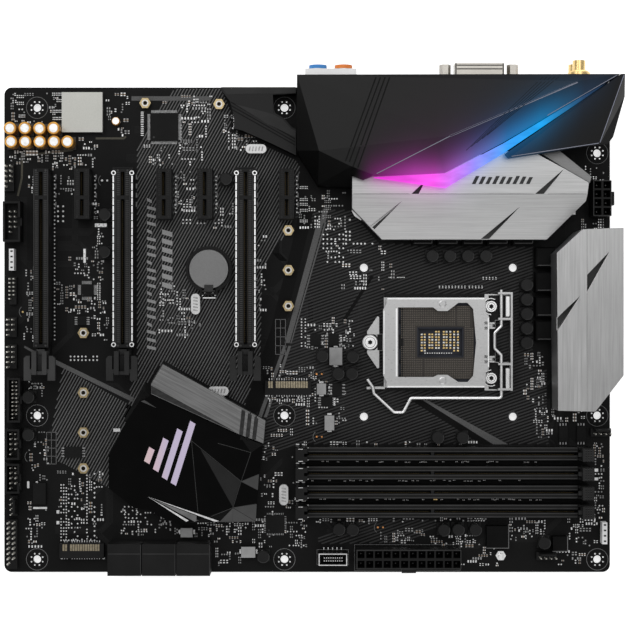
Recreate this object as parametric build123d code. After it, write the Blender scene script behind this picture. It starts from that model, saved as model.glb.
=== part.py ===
from build123d import *
import os

# ATX mainboard, millimetres.  +X runs along the long side, +Y towards the rear connectors
# and +Z out of the component side.  The origin is the datum case hole on the underside.
# Places are given as board measures: the distance from the left edge and from the rear edge.

# ---------------------------------------------------------------- driving dimensions
BOARD_LENGTH = 304.8
BOARD_DEPTH = 243.84
TOP = 1.6                       # board thickness, so also the height of the component side
BOARD_CORNER = 3.8
CASE_HOLE_RADIUS = 1.98
HOLE_LEFT, DATUM_LEFT, HOLE_RIGHT = 16.51, 140.97, 298.45
DATUM_REAR, HOLE_REAR_RIGHT, HOLE_MIDDLE, HOLE_FRONT = 10.16, 33.02, 165.1, 237.49
SOCKET_LEFT, SOCKET_REAR = 218.5, 128.2
COOLER_HOLE_SPACING = 75.0
COOLER_HOLE_RADIUS = 2.0
SLOT_PITCH = 20.32
FIRST_DIMM_REAR = 183.6
DIMM_PITCH = 9.5
SCREW_RADIUS = 1.5              # screws that come up through the board
SCREW_HOLE_RADIUS = 1.6
SCREW_HEAD_RADIUS = 3.0
UNDERSIDE_DEPTH = 2.2           # how far the lowest pieces reach below the board
PIVOT_RADIUS = 0.8              # moulded or pressed hinge stubs
PIVOT_CLEARANCE = 0.06
WIRE_RADIUS = 0.85              # socket lever wire

M2_RIGHT_LEFT = 143.0
M2_RIGHT_SOCKET = 152.0          # rear measure of the card's zero point
M2_RIGHT_CARDS = (80.0, 60.0, 42.0)
M2_LEFT_LEFT = 40.1
M2_LEFT_SOCKET = 233.5
M2_LEFT_CARDS = (110.0, 80.0, 60.0, 42.0)
WIRELESS_STANDOFFS = [(71.1, 8.1), (108.2, 8.6)]
STANDOFF_RADIUS = 2.9           # to the corners of the hexagon
STANDOFF_SHANK_RADIUS = 1.7
STANDOFF_HEIGHT = 2.4
STANDOFF_THREAD_RADIUS = 1.0

HEATSINK_SCREWS = [(184.0, 55.0), (282.0, 55.0), (294.0, 82.0), (294.0, 150.0)]
COVER_SCREWS = [(165.0, 34.0), (299.0, 20.5)]
CHIPSET_SCREWS = [(66.0, 180.0), (118.0, 206.0)]


# ---------------------------------------------------------------- helpers
def spot(left, rear):
    """Frame X and Y of a point given by its board measures."""
    return left - DATUM_LEFT, DATUM_REAR - rear


def block(left, right, rear, front, low, high):
    """A box between board measures, with heights above the component side."""
    x, y = spot((left + right) / 2, (rear + front) / 2)
    return Pos(x, y, TOP + (low + high) / 2) * Box(right - left, front - rear, high - low)


def post(left, rear, radius, low, high):
    """A round upright, with heights above the component side."""
    x, y = spot(left, rear)
    return Pos(x, y, TOP + (low + high) / 2) * Cylinder(radius, high - low)


def prism(points, low, high):
    """An upright prism on an outline of board measures."""
    outline = [spot(left, rear) for left, rear in points]
    return Pos(0, 0, TOP + low) * extrude(make_face(Polyline(*outline, close=True)), high - low)


def pipe(left, right, rear, height, radius):
    """A round bar along X."""
    x, y = spot((left + right) / 2, rear)
    return Pos(x, y, TOP + height) * Rot(0, 90, 0) * Cylinder(radius, right - left)


def barrel(left, rear, front, height, radius):
    """A round bar along Y."""
    x, y = spot(left, (rear + front) / 2)
    return Pos(x, y, TOP + height) * Rot(90, 0, 0) * Cylinder(radius, front - rear)


def faceted(points, rim, facets, low):
    """A solid with a faceted top: points holds name: (left, rear, height)."""
    def upper(name):
        left, rear, height = points[name]
        return (*spot(left, rear), TOP + height)

    def lower(name):
        left, rear, _ = points[name]
        return (*spot(left, rear), TOP + low)

    faces = [Face(Wire.make_polygon([upper(name) for name in facet])) for facet in facets]
    for here, there in zip(rim, rim[1:] + rim[:1]):
        wall = [lower(here), lower(there), upper(there), upper(here)]
        faces.append(Face(Wire.make_polygon(wall)))
    faces.append(Face(Wire.make_polygon([lower(name) for name in rim])))
    solid = Solid(Shell(faces))
    return solid if solid.volume > 0 else -solid


def hollow(solid, points, rim, wall, low, high):
    """Cuts the inside out of a faceted solid and leaves a wall all over but underneath."""
    outline = [spot(points[name][0], points[name][1]) for name in rim]
    face = make_face(Polyline(*outline, close=True))
    inside = offset(face, amount=-wall, kind=Kind.INTERSECTION)
    core = Pos(0, 0, TOP + low - wall) * extrude(inside, high - low)
    return solid - (core & (Pos(0, 0, -wall) * solid))


def save(name, *pieces):
    """Writes one node, made of one or more separate solids."""
    solids = []
    for piece in pieces:
        solids.extend(piece.solids())
    node = solids[0] if len(solids) == 1 else Compound(children=solids)
    node.label = name
    export_step(node, f"parts/{name}.step")


# ---------------------------------------------------------------- board and its underside
def case_holes():
    spots = [(HOLE_LEFT, DATUM_REAR), (DATUM_LEFT, DATUM_REAR), (HOLE_RIGHT, HOLE_REAR_RIGHT)]
    for rear in (HOLE_MIDDLE, HOLE_FRONT):
        spots += [(left, rear) for left in (HOLE_LEFT, DATUM_LEFT, HOLE_RIGHT)]
    return spots


def cooler_holes():
    half = COOLER_HOLE_SPACING / 2
    return [(SOCKET_LEFT + i * half, SOCKET_REAR + j * half) for i in (-1, 1) for j in (-1, 1)]


def standoff_spots():
    spots = [(M2_RIGHT_LEFT, M2_RIGHT_SOCKET - length) for length in M2_RIGHT_CARDS]
    spots += [(M2_LEFT_LEFT, M2_LEFT_SOCKET - length) for length in M2_LEFT_CARDS]
    return spots + WIRELESS_STANDOFFS


FRAME_SCREWS = [(184.0, 128.2), (244.8, 110.2), (244.8, 146.2)]
SCREW_SPOTS = HEATSINK_SCREWS + COVER_SCREWS + CHIPSET_SCREWS


def pcb():
    x, y = spot(BOARD_LENGTH / 2, BOARD_DEPTH / 2)
    outline = RectangleRounded(BOARD_LENGTH, BOARD_DEPTH, BOARD_CORNER)
    board = Pos(x, y, 0) * extrude(outline, TOP)
    holes = [post(*place, CASE_HOLE_RADIUS, -3, 1) for place in case_holes()]
    holes += [post(*place, COOLER_HOLE_RADIUS, -3, 1) for place in cooler_holes()]
    holes += [post(*place, STANDOFF_SHANK_RADIUS, -3, 1) for place in standoff_spots()]
    holes += [post(*place, SCREW_HOLE_RADIUS, -3, 1) for place in SCREW_SPOTS + FRAME_SCREWS]
    return board - holes


def underside_screws():
    screws = []
    for place in SCREW_SPOTS:
        head = post(*place, SCREW_HEAD_RADIUS, -TOP - UNDERSIDE_DEPTH, -TOP)
        cross = post(*place, 1.2, -TOP - UNDERSIDE_DEPTH - 1, -TOP - UNDERSIDE_DEPTH + 1.0)
        screws.append(head + post(*place, SCREW_RADIUS, -TOP, 4.0) - cross)
    return screws


def m2_standoffs():
    nuts = []
    for place in standoff_spots():
        hexagon = Pos(*spot(*place), TOP) * RegularPolygon(STANDOFF_RADIUS, 6)
        nut = extrude(hexagon, STANDOFF_HEIGHT)
        nut += post(*place, STANDOFF_SHANK_RADIUS - 0.05, -TOP, 0)
        nuts.append(nut - post(*place, STANDOFF_THREAD_RADIUS, -3, 4))
    return nuts


# ---------------------------------------------------------------- processor socket
FRAME_LOW, FRAME_HIGH = 0.3, 1.3
LEVER_LEFT = 249.7
LEVER_HEIGHT = 4.0
PLATE_LOW, PLATE_HIGH = 4.4, 5.6
PLATE_PIVOT_LEFT = 244.6
PLATE_PIVOT_HEIGHT = 4.0
LUG_REARS = (103.6, 116.4, 139.0, 151.6)


def cpu_backplate():
    outline = [(180, 119), (197, 105), (249, 105), (249, 151.5), (197, 151.5), (180, 137.5)]
    plate = prism(outline, -TOP - UNDERSIDE_DEPTH, -TOP)
    plate -= block(203, 235, 115, 141.5, -9, 0)
    return plate - [post(*place, SCREW_HOLE_RADIUS, -9, 0) for place in FRAME_SCREWS]


def socket_frame():
    """Steel frame round the socket, with the lugs that carry the lever and the load plate."""
    frame = block(191.0, 255.1, 104.0, 152.4, FRAME_LOW, FRAME_HIGH)
    frame -= block(195.4, 241.2, 106.2, 150.2, 0, 9)
    frame -= block(247.0, 254.1, 117.2, 138.2, 0, 9)
    frame += post(*FRAME_SCREWS[0], 4.2, FRAME_LOW, FRAME_HIGH)
    frame += block(184.0, 191.0, SOCKET_REAR - 4.2, SOCKET_REAR + 4.2, FRAME_LOW, FRAME_HIGH)
    for side in (-1, 1):
        ear = [(188.5, SOCKET_REAR + side * 4.0), (182.5, SOCKET_REAR + side * 4.0),
               (182.5, SOCKET_REAR + side * 5.5), (187.7, SOCKET_REAR + side * 13.1),
               (188.5, SOCKET_REAR + side * 12.7)]
        frame += prism(ear, FRAME_LOW, 3.4)
        curl_rear = SOCKET_REAR + side * 18.0 - 5.2
        frame += block(251.6, 253.8, curl_rear, curl_rear + 10.4, FRAME_LOW, 4.4)
        frame += barrel(252.7, curl_rear, curl_rear + 10.4, 4.4, 1.1)
    frame += block(254.1, 255.1, 104.0, 152.4, FRAME_LOW, 6.2)
    for rear in LUG_REARS:
        frame += block(247.9, 255.1, rear - 0.5, rear + 0.5, FRAME_LOW, 6.2)
        frame -= barrel(LEVER_LEFT, rear - 1, rear + 1, LEVER_HEIGHT, WIRE_RADIUS + PIVOT_CLEARANCE)
    for rear in (118.6, 121.0, 135.4, 137.8):
        frame += block(243.4, 246.2, rear - 0.4, rear + 0.4, FRAME_LOW, 5.4)
        frame -= barrel(PLATE_PIVOT_LEFT, rear - 1, rear + 1, PLATE_PIVOT_HEIGHT,
                        PIVOT_RADIUS + PIVOT_CLEARANCE)
    frame += block(182.2, 191.4, 150.4, 151.6, FRAME_LOW, 2.8)
    frame += block(182.2, 183.6, 150.4, 151.6, FRAME_LOW, 6.0)
    return frame - [post(*place, SCREW_HOLE_RADIUS, -9, 9) for place in FRAME_SCREWS]


def socket_screws():
    """Three star-drive screws, one of them with the large shoulder in front of the plate."""
    screws = []
    for place, radius, high in zip(FRAME_SCREWS, (3.4, 2.7, 2.7), (3.9, 3.2, 3.2)):
        screw = post(*place, SCREW_RADIUS, -TOP - UNDERSIDE_DEPTH, FRAME_HIGH)
        screw += post(*place, radius, FRAME_HIGH, high)
        screws.append(screw - post(*place, 1.1, high - 1.2, high + 1))
    return screws


def socket_base():
    """Plastic housing with the recess that the processor drops into."""
    body = block(196.0, 240.6, 106.8, 149.6, 0.2, 4.0)
    body -= block(198.4, 236.8, 109.0, 147.4, 2.6, 9)
    body -= block(208.3, 230.0, 121.4, 134.8, 1.0, 9)
    return body + block(236.8, 240.2, 118.0, 138.0, 2.6, 3.9)


def socket_contacts():
    """The field of contacts, a ring round the middle window."""
    return block(199.2, 236.0, 109.8, 146.6, 2.62, 3.0) - block(207.6, 230.8, 120.6, 135.6, 2, 9)


def load_plate():
    outline = [(192.1, 105.8), (241.5, 105.8), (241.8, 113.6), (243.4, 115.6), (243.4, 140.8),
               (241.8, 142.8), (241.5, 150.8), (192.1, 150.8), (192.1, 147.6), (190.4, 144.6),
               (190.4, 111.8), (192.1, 108.8)]
    window = [(197.9, 110.7), (215.5, 110.7), (217.8, 112.5), (222.6, 112.5), (228.0, 108.4),
              (232.6, 108.4), (235.4, 111.5), (236.9, 128.2), (235.4, 144.8), (232.6, 148.0),
              (228.0, 148.0), (222.6, 144.4), (217.8, 144.4), (215.5, 145.5), (197.9, 145.5)]
    plate = prism(outline, PLATE_LOW, PLATE_HIGH) - prism(window, 0, 9)
    for rear in (119.8, 136.6):
        plate -= block(241.0, 244.0, rear - 2.0, rear + 2.0, 0, 9)
        plate += block(240.8, 242.8, rear - 0.6, rear + 0.6, PLATE_LOW, PLATE_HIGH - 0.4)
        plate += block(242.6, PLATE_PIVOT_LEFT, rear - 0.6, rear + 0.6, 3.2, PLATE_HIGH - 0.4)
        plate += barrel(PLATE_PIVOT_LEFT, rear - 0.6, rear + 0.6, PLATE_PIVOT_HEIGHT, 1.2)
        plate += barrel(PLATE_PIVOT_LEFT, rear - 1.6, rear + 1.6, PLATE_PIVOT_HEIGHT, PIVOT_RADIUS)
    return plate


def socket_lever():
    """One bent wire: pivot length with its crank, arm, and the finger bend at the end."""
    corners = [(LEVER_LEFT, 101.9), (LEVER_LEFT, 120.0), (246.3, 123.4), (246.3, 131.2),
               (LEVER_LEFT, 134.6), (LEVER_LEFT, 156.0), (204.4, 156.0), (200.6, 163.2),
               (196.0, 163.2), (185.9, 153.8), (185.3, 150.6), (182.6, 146.6)]
    points = [(*spot(left, rear), TOP + LEVER_HEIGHT) for left, rear in corners]
    path = FilletPolyline(*points, radius=1.3)
    start = Plane(origin=points[0], z_dir=(0, -1, 0))
    return sweep(start * Circle(WIRE_RADIUS), path=path, transition=Transition.ROUND)


# ---------------------------------------------------------------- memory slots
DIMM_PIVOT_LEFT, DIMM_PIVOT_HEIGHT = 290.6, 4.0
DIMM_KEY_LEFT = 214.9


def dimm_slot(rear):
    body = block(149.5, 287.4, rear - 3.2, rear + 3.2, 0.2, 8.6)
    body += block(146.8, 152.6, rear - 3.2, rear + 3.2, 0.2, 16.8)
    body += block(287.4, 293.6, rear - 3.2, rear + 3.2, 0.2, 10.6)
    body -= block(151.0, 287.4, rear - 0.8, rear + 0.8, 3.0, 18)
    body -= block(287.4, 294.0, rear - 2.1, rear + 2.1, 0.9, 12)
    body += block(DIMM_KEY_LEFT - 0.8, DIMM_KEY_LEFT + 0.8, rear - 0.8, rear + 0.8, 3.0, 8.6)
    return body - barrel(DIMM_PIVOT_LEFT, rear - 4, rear + 4, DIMM_PIVOT_HEIGHT,
                         PIVOT_RADIUS + PIVOT_CLEARANCE)


def dimm_latch(rear):
    """Swinging end latch: round foot, stem, module hook and a ribbed finger pad."""
    latch = barrel(DIMM_PIVOT_LEFT, rear - 1.9, rear + 1.9, DIMM_PIVOT_HEIGHT, 2.6)
    latch += block(288.4, 293.2, rear - 1.9, rear + 1.9, DIMM_PIVOT_HEIGHT, 15.0)
    latch += block(286.6, 288.6, rear - 1.0, rear + 1.0, 12.6, 14.6)
    latch += block(288.4, 294.0, rear - 3.2, rear + 3.2, 11.8, 17.0)
    latch -= [block(left, left + 0.6, rear - 4, rear + 4, 16.4, 18) for left in (289.6, 290.9, 292.2)]
    latch += barrel(DIMM_PIVOT_LEFT, rear - 3.0, rear + 3.0, DIMM_PIVOT_HEIGHT, PIVOT_RADIUS)
    return latch


# ---------------------------------------------------------------- expansion slots
SLOT_REAR = 41.8
X16_LENGTH, X1_LENGTH = 88.9, 25.0
SLOT_HALF_WIDTH = 3.75
SLOT_HEIGHT = 11.2
LATCH_PIVOT_REAR, LATCH_PIVOT_HEIGHT = SLOT_REAR + X16_LENGTH + 3.0, 4.4


def slot_body(left, length):
    front = SLOT_REAR + length
    body = block(left - SLOT_HALF_WIDTH, left + SLOT_HALF_WIDTH, SLOT_REAR, front, 0.2, SLOT_HEIGHT)
    body -= block(left - 0.9, left + 0.9, SLOT_REAR + 1.6, SLOT_REAR + 13.4, 3.0, 12)
    return body - block(left - 0.9, left + 0.9, SLOT_REAR + 15.2, front - 1.6, 3.0, 12)


def x16_slot(left):
    """Long slot, with two cheeks at the front end for its card latch."""
    front = SLOT_REAR + X16_LENGTH
    body = slot_body(left, X16_LENGTH)
    for side in (-1, 1):
        centre = left + side * 2.95
        body += block(centre - 0.8, centre + 0.8, front, front + 5.6, 0.2, 7.6)
    return body - pipe(left - 5, left + 5, LATCH_PIVOT_REAR, LATCH_PIVOT_HEIGHT,
                       PIVOT_RADIUS + PIVOT_CLEARANCE)


def card_latch(left):
    """Card latch: stem between the cheeks, hook, two prongs beside the card, two winged feet."""
    rear = LATCH_PIVOT_REAR
    latch = pipe(left - 2.0, left + 2.0, rear, LATCH_PIVOT_HEIGHT, 2.2)
    latch += block(left - 2.0, left + 2.0, rear - 1.6, rear + 1.6, LATCH_PIVOT_HEIGHT, 10.4)
    latch += block(left - 2.0, left + 2.0, rear - 2.2, rear + 0.4, 10.0, 12.0)
    latch += block(left - 3.7, left + 3.7, rear - 1.3, rear + 10.3, 9.4, 11.0)
    for side in (-1, 1):
        prong = [(1.4, -1.3), (3.7, -1.3), (3.7, 10.3), (1.4, 10.3)]
        wing = [(4.7, 1.0), (6.6, 1.0), (7.7, 2.2), (7.7, 13.2), (4.1, 13.2), (4.1, 9.6), (3.2, 9.6),
                (3.2, 7.6), (4.7, 7.6)]
        latch += prism([(left + side * x, rear + y) for x, y in prong], 9.4, 16.4)
        latch += prism([(left + side * x, rear + y) for x, y in wing], 12.6, 15.6)
        latch += block(left + side * 5.9 - 0.6, left + side * 5.9 + 0.6, rear + 9.2, rear + 13.2, 9.4, 15.6)
    latch += block(left - 3.7, left + 3.7, rear + 8.6, rear + 10.3, 9.4, 15.0)
    return latch + pipe(left - 2.8, left + 2.8, rear, LATCH_PIVOT_HEIGHT, PIVOT_RADIUS)


def slot_shield(left):
    """Folded steel sleeve down both sides and across the rear end of a long slot."""
    front = SLOT_REAR + X16_LENGTH
    sleeve = block(left - 4.3, left + 4.3, SLOT_REAR - 0.6, front - 1.0, 0.3, 11.5)
    sleeve -= block(left - 3.85, left + 3.85, SLOT_REAR - 0.1, front, 0, 12)
    for side in (-1, 1):
        centre = left + side * 4.55
        sleeve += block(centre - 0.5, centre + 0.5, SLOT_REAR - 0.6, front - 1.0, 10.7, 11.5)
        for rear in (SLOT_REAR + 1.2, SLOT_REAR + 30, SLOT_REAR + 58, front - 3.0):
            tab = left + side * 4.55
            sleeve += block(tab - 0.45, tab + 0.45, rear - 1.2, rear + 1.2, 0.3, 1.3)
    return sleeve


# ---------------------------------------------------------------- heatsinks
def top_heatsink():
    """Heatsink over the rear power stages, with a crease along its length."""
    def rear_plane(rear):
        return 22.5 + (55.3 - rear) * 0.06

    def front_plane(rear):
        return 22.5 - (rear - 55.3) * 0.34

    rear_rim = [(174.6, 55.3), (174.6, 44.0), (250.0, 34.6), (262.0, 34.6), (265.5, 36.3),
                (278.0, 42.9), (290.2, 49.8), (289.6, 55.3)]
    front_rim = [(289.0, 58.7), (270.8, 77.2), (189.4, 77.2), (174.6, 62.1)]
    points = {f"r{i}": (left, rear, rear_plane(rear)) for i, (left, rear) in enumerate(rear_rim)}
    for i, (left, rear) in enumerate(front_rim):
        points[f"f{i}"] = (left, rear, front_plane(rear))
    rear_facet = [f"r{i}" for i in range(len(rear_rim))]
    front_facet = ["r7"] + [f"f{i}" for i in range(len(front_rim))] + ["r0"]
    body = faceted(points, rear_facet + front_facet[1:-1], [rear_facet, front_facet], 9.0)
    body += block(178.0, 286.0, 50.0, 64.5, 1.2, 9.0)
    grooves = [([(199.0, 58.6), (184.6, 73.4), (182.8, 71.2)], 15.6),
               ([(257.0, 61.2), (241.4, 78.0), (237.0, 78.0)], 14.2),
               ([(210.6, 48.4), (207.2, 55.3), (203.4, 55.3)], 20.8),
               ([(278.0, 43.1), (268.5, 55.3), (264.0, 55.3)], 20.8)]
    body -= [prism(outline, low, 30) for outline, low in grooves]
    body -= [block(left, left + 3.0, 50.0, 64.5, 1.2, 7.5) for left in (200, 220, 240, 260)]
    return body - [post(*place, SCREW_HOLE_RADIUS, 0, 6) for place in HEATSINK_SCREWS[:2]]


def side_heatsink():
    """Heatsink over the side power stages, creased from rear to front."""
    crease, top = 287.2, 35.0

    def height(left):
        return top - max(0, crease - left) * 0.47

    rim = [(crease, 73.2), (304.8, 72.5), (304.8, 143.6), (291.2, 161.0), (crease, 160.9),
           (274.3, 160.9), (273.7, 84.4), (285.0, 73.4)]
    points = {f"p{i}": (left, rear, height(left)) for i, (left, rear) in enumerate(rim)}
    names = list(points)
    body = faceted(points, names, [names[:5], names[4:] + names[:1]], 9.0)
    body += prism([(285.6, 76.0), (303.0, 76.0), (303.0, 142.0), (290.6, 157.6), (285.6, 157.6)], 1.2, 9.0)
    grooves = [([(297.9, 84.0), (crease, 103.2), (crease, 95.2)], 31.4),
               ([(284.0, 105.5), (273.4, 123.0), (273.4, 116.1)], 26.0)]
    body -= [prism(outline, low, 40) for outline, low in grooves]
    body -= [block(285.0, 303.5, rear, rear + 3.0, 1.2, 7.5) for rear in (94, 110, 126)]
    return body - [post(*place, SCREW_HOLE_RADIUS, 0, 6) for place in HEATSINK_SCREWS[2:]]


def heatsink_bridge():
    """Dark plate between the rear heatsink and the board's right edge, under the cover."""
    outline = [(266.6, 34.8), (276.2, 33.8), (292.0, 46.6), (291.2, 49.6), (279.0, 42.6)]
    return prism(outline, 17.0, 20.0)


# ---------------------------------------------------------------- rear cover and light bar
def io_cover():
    """Faceted shroud over the rear connectors, open underneath and at the rear."""
    points = {
        "rear_left": (147.7, -1.0, 36.0), "rear_right": (302.6, -1.0, 38.0),
        "ridge_rear": (281.9, 2.7, 39.0), "ridge_middle": (221.0, 28.8, 39.0),
        "tip": (184.4, 47.2, 36.0), "left_upper": (158.3, 35.7, 37.0),
        "left_lower": (173.9, 43.2, 36.5), "skirt_rear": (147.4, 33.8, 20.0),
        "skirt_left": (157.8, 50.2, 15.0), "skirt_front": (173.6, 51.4, 15.0),
        "lip_left": (219.4, 45.6, 32.5), "lip_middle": (246.9, 31.2, 34.0),
        "lip_right": (285.6, 8.8, 36.5)}
    rim = ["rear_left", "rear_right", "lip_right", "lip_middle", "lip_left", "tip",
           "skirt_front", "skirt_left", "skirt_rear"]
    facets = [("rear_left", "rear_right", "ridge_rear"), ("rear_left", "ridge_rear", "ridge_middle"),
              ("rear_left", "ridge_middle", "left_upper"), ("left_upper", "ridge_middle", "left_lower"),
              ("left_lower", "ridge_middle", "tip"), ("ridge_rear", "rear_right", "lip_right"),
              ("ridge_rear", "lip_right", "lip_middle"), ("ridge_rear", "lip_middle", "ridge_middle"),
              ("ridge_middle", "lip_middle", "lip_left"), ("ridge_middle", "lip_left", "tip"),
              ("rear_left", "left_upper", "skirt_rear"), ("left_upper", "skirt_left", "skirt_rear"),
              ("left_upper", "left_lower", "skirt_left"), ("left_lower", "skirt_front", "skirt_left"),
              ("left_lower", "tip", "skirt_front")]
    cover = hollow(faceted(points, rim, facets, 1.0), points, rim, 1.6, 1.0, 40.0)
    cover -= block(174.2, 310.0, -5.0, 60.0, 0, 27.0)
    cover -= block(149.6, 310.0, -5.0, 3.0, 0, 34.0)
    cover += post(*COVER_SCREWS[0], 3.0, 0, 36.0)
    return cover - post(*COVER_SCREWS[0], SCREW_HOLE_RADIUS, -1, 6)


def io_cover_wing():
    """Right-hand panel of the shroud, on the far side of the light bar."""
    points = {
        "rear": (302.9, -1.0, 38.0), "corner": (304.8, -1.0, 38.6), "side": (304.8, 9.8, 37.6),
        "low_right": (301.0, 28.1, 28.5), "low_left": (298.6, 31.4, 28.0),
        "front_right": (294.4, 31.7, 30.0), "front_left": (250.4, 38.4, 31.0),
        "tip": (248.6, 36.4, 34.0)}
    rim = list(points)
    facets = [("corner", "side", "front_right"), ("side", "low_right", "front_right"),
              ("low_right", "low_left", "front_right"), ("rear", "corner", "front_right"),
              ("rear", "front_right", "front_left"), ("rear", "front_left", "tip")]
    wing = hollow(faceted(points, rim, facets, 25.5), points, rim, 1.6, 25.5, 40.0)
    wing -= block(240.0, 310.0, -5.0, 1.6, 0, 34.0)
    wing += post(*COVER_SCREWS[1], 2.6, 0, 29.0)
    return wing - post(*COVER_SCREWS[1], SCREW_HOLE_RADIUS, -1, 6)


def io_cover_tail():
    """Low wireless-module cover beside the shroud, cut out round the case hole."""
    outline = [(109.7, 1.1), (146.9, 1.1), (146.9, 4.2), (135.4, 4.8), (135.8, 13.6),
               (141.0, 16.6), (144.9, 21.1), (146.9, 22.0), (146.9, 35.0), (133.4, 28.5),
               (120.1, 22.6), (116.0, 21.6), (116.0, 15.6), (114.1, 8.2), (109.7, 2.7)]
    face = make_face(Polyline(*[spot(left, rear) for left, rear in outline], close=True))
    inside = offset(face, amount=-1.4, kind=Kind.INTERSECTION)
    return prism(outline, 0.4, 9.0) - Pos(0, 0, TOP) * extrude(inside, 7.4)


def light_bar():
    """Translucent bar: a wedge in front of the shroud and a strip up between its panels."""
    points = {
        "tip": (184.8, 48.0, 32.0), "bend_rear": (219.6, 46.3, 35.0), "middle_rear": (247.2, 31.8, 35.0),
        "far_rear": (285.9, 8.9, 36.8), "end": (296.0, 3.3, 37.2), "far_front": (286.0, 10.3, 36.2),
        "middle_front": (247.2, 36.4, 33.0), "bend_front": (219.8, 52.9, 29.5)}
    rim = list(points)
    facets = [("tip", "bend_rear", "bend_front"), ("bend_rear", "middle_rear", "middle_front"),
              ("bend_rear", "middle_front", "bend_front"), ("middle_rear", "far_rear", "far_front"),
              ("middle_rear", "far_front", "middle_front"), ("far_rear", "end", "far_front")]
    return faceted(points, rim, facets, 27.0)


# ---------------------------------------------------------------- chipset heatsink group
BAR_OUTLINE = [(80.7, 138.7), (131.8, 166.8), (130.8, 178.0), (119.0, 173.6), (75.4, 153.6), (75.2, 147.8)]


def chipset_heatsink():
    """Finned aluminium base under the chipset covers."""
    outline = [(72.0, 160.0), (80.0, 152.0), (124.0, 174.0), (124.0, 208.0), (86.0, 208.0), (60.0, 194.0),
               (60.0, 182.0)]
    base = prism(outline, 1.4, 6.4)
    base -= [block(left, left + 1.6, 164.0, 204.0, 3.0, 7.0) for left in range(72, 114, 5)]
    return base - [post(*place, SCREW_HOLE_RADIUS, 0, 7) for place in CHIPSET_SCREWS]


def chipset_bar():
    """Brushed bar across the rear of the group, slotted at its right end."""
    body = prism(BAR_OUTLINE, 7.0, 13.0)
    for left in (121.0, 124.2, 127.4):
        body -= prism([(left, 158.0), (left + 1.0, 158.0), (left - 1.4, 180.0), (left - 2.4, 180.0)], 11.6, 14)
    body = chamfer(body.edges().filter_by(Plane.XY).group_by(Axis.Z)[-1].sort_by(Axis.Y)[-1:], 0.5)
    return body


def chipset_cover():
    """Black faceted cover with a flat field on its left."""
    points = {
        "field_rear": (75.4, 154.6), "left_0": (69.4, 157.0), "left_1": (62.5, 167.5),
        "left_2": (53.9, 184.1), "left_3": (53.9, 200.7), "left_4": (66.7, 210.6),
        "left_5": (73.3, 211.1), "left_6": (83.3, 216.7), "front_left": (93.8, 217.8),
        "peak": (95.0, 177.0), "bar_front": (119.0, 174.6)}
    points = {name: (left, rear, 10.0) for name, (left, rear) in points.items()}
    field = list(points)
    points.update({
        "front_right": (127.0, 217.3, 9.0), "right_low": (127.5, 208.5, 9.2), "right_b": (128.0, 201.6, 9.2),
        "right_a": (128.6, 193.6, 9.4), "right_high": (130.5, 179.0, 9.6),
        "valley": (124.6, 182.8, 10.5), "crest": (119.7, 197.1, 11.0), "foot": (115.6, 210.2, 10.6)})
    rim = field[:9] + ["front_right", "right_low", "right_b", "right_a", "right_high", "bar_front"]
    facets = [field, ("peak", "bar_front", "valley"), ("valley", "bar_front", "right_high"),
              ("valley", "right_high", "right_a"), ("peak", "valley", "crest"),
              ("valley", "right_a", "crest"), ("crest", "right_a", "right_b"),
              ("crest", "right_b", "right_low"),
              ("crest", "right_low", "foot"), ("foot", "right_low", "front_right"),
              ("peak", "crest", "foot"), ("foot", "front_right", "front_left"),
              ("peak", "foot", "front_left")]
    return faceted(points, rim, facets, 6.6)


# ---------------------------------------------------------------- battery
BATTERY_LEFT, BATTERY_REAR = 103.2, 91.6


def battery_holder():
    tray = post(BATTERY_LEFT, BATTERY_REAR, 11.6, 0.2, 4.2)
    tray += block(98.8, 107.6, 100.0, 104.4, 0.2, 4.2)
    tray -= post(BATTERY_LEFT, BATTERY_REAR, 10.25, 1.6, 9)
    return tray - block(99.8, 106.6, 98.6, 103.6, 1.6, 9)


def battery_clip():
    """Sprung contact that holds the cell down at its front edge."""
    clip = block(100.0, 106.4, 102.2, 102.8, 1.7, 5.9)
    clip += block(101.0, 105.4, 99.4, 102.8, 5.3, 5.9)
    return clip + block(100.0, 106.4, 102.2, 103.4, 1.7, 2.2)


def battery():
    cell = post(BATTERY_LEFT, BATTERY_REAR, 10.0, 1.7, 4.9)
    return chamfer(cell.edges().group_by(Axis.Z)[-1], 0.35)


# ---------------------------------------------------------------- power connectors
def power_socket(left, right, rear, front, columns, rows):
    """Block of square cells, open at the top."""
    body = block(left, right, rear, front, 0.2, 12.8)
    for i in range(columns):
        for j in range(rows):
            x = left + (right - left) * (i + 0.5) / columns
            y = rear + (front - rear) * (j + 0.5) / rows
            body -= block(x - 1.75, x + 1.75, y - 1.75, y + 1.75, 2.6, 14)
    return body


def board_power_socket():
    body = power_socket(177.0, 228.8, 230.8, 240.4, 12, 2)
    return body + block(199.4, 206.4, 240.4, 242.4, 3.0, 12.2)


def cpu_power_socket():
    body = power_socket(294.2, 303.2, 47.8, 65.4, 2, 4)
    return body + block(303.2, 304.7, 53.4, 60.0, 3.0, 12.2)


# ---------------------------------------------------------------- drive connectors
def sata_stack(left, right):
    """Two drive ports, one above the other, facing the front edge."""
    body = block(left, right, 227.6, 243.3, 0.2, 15.4)
    middle = (left + right) / 2
    for height in (4.2, 11.4):
        body -= block(middle - 7.2, middle + 7.2, 236.6, 244, height - 2.2, height + 2.2)
        body += block(middle - 5.2, middle + 5.2, 236.0, 242.8, height - 0.2, height + 1.0)
        body += block(middle + 4.0, middle + 5.2, 236.0, 242.8, height - 1.4, height + 1.0)
    return body


def m2_socket(left, right, rear, front):
    """Card-edge socket whose slot opens towards the rear."""
    body = block(left, right, rear, front, 0.1, 4.2)
    return body - block(left + 1.4, right - 1.4, rear - 1, rear + 5.0, 2.0, 3.4)


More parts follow.
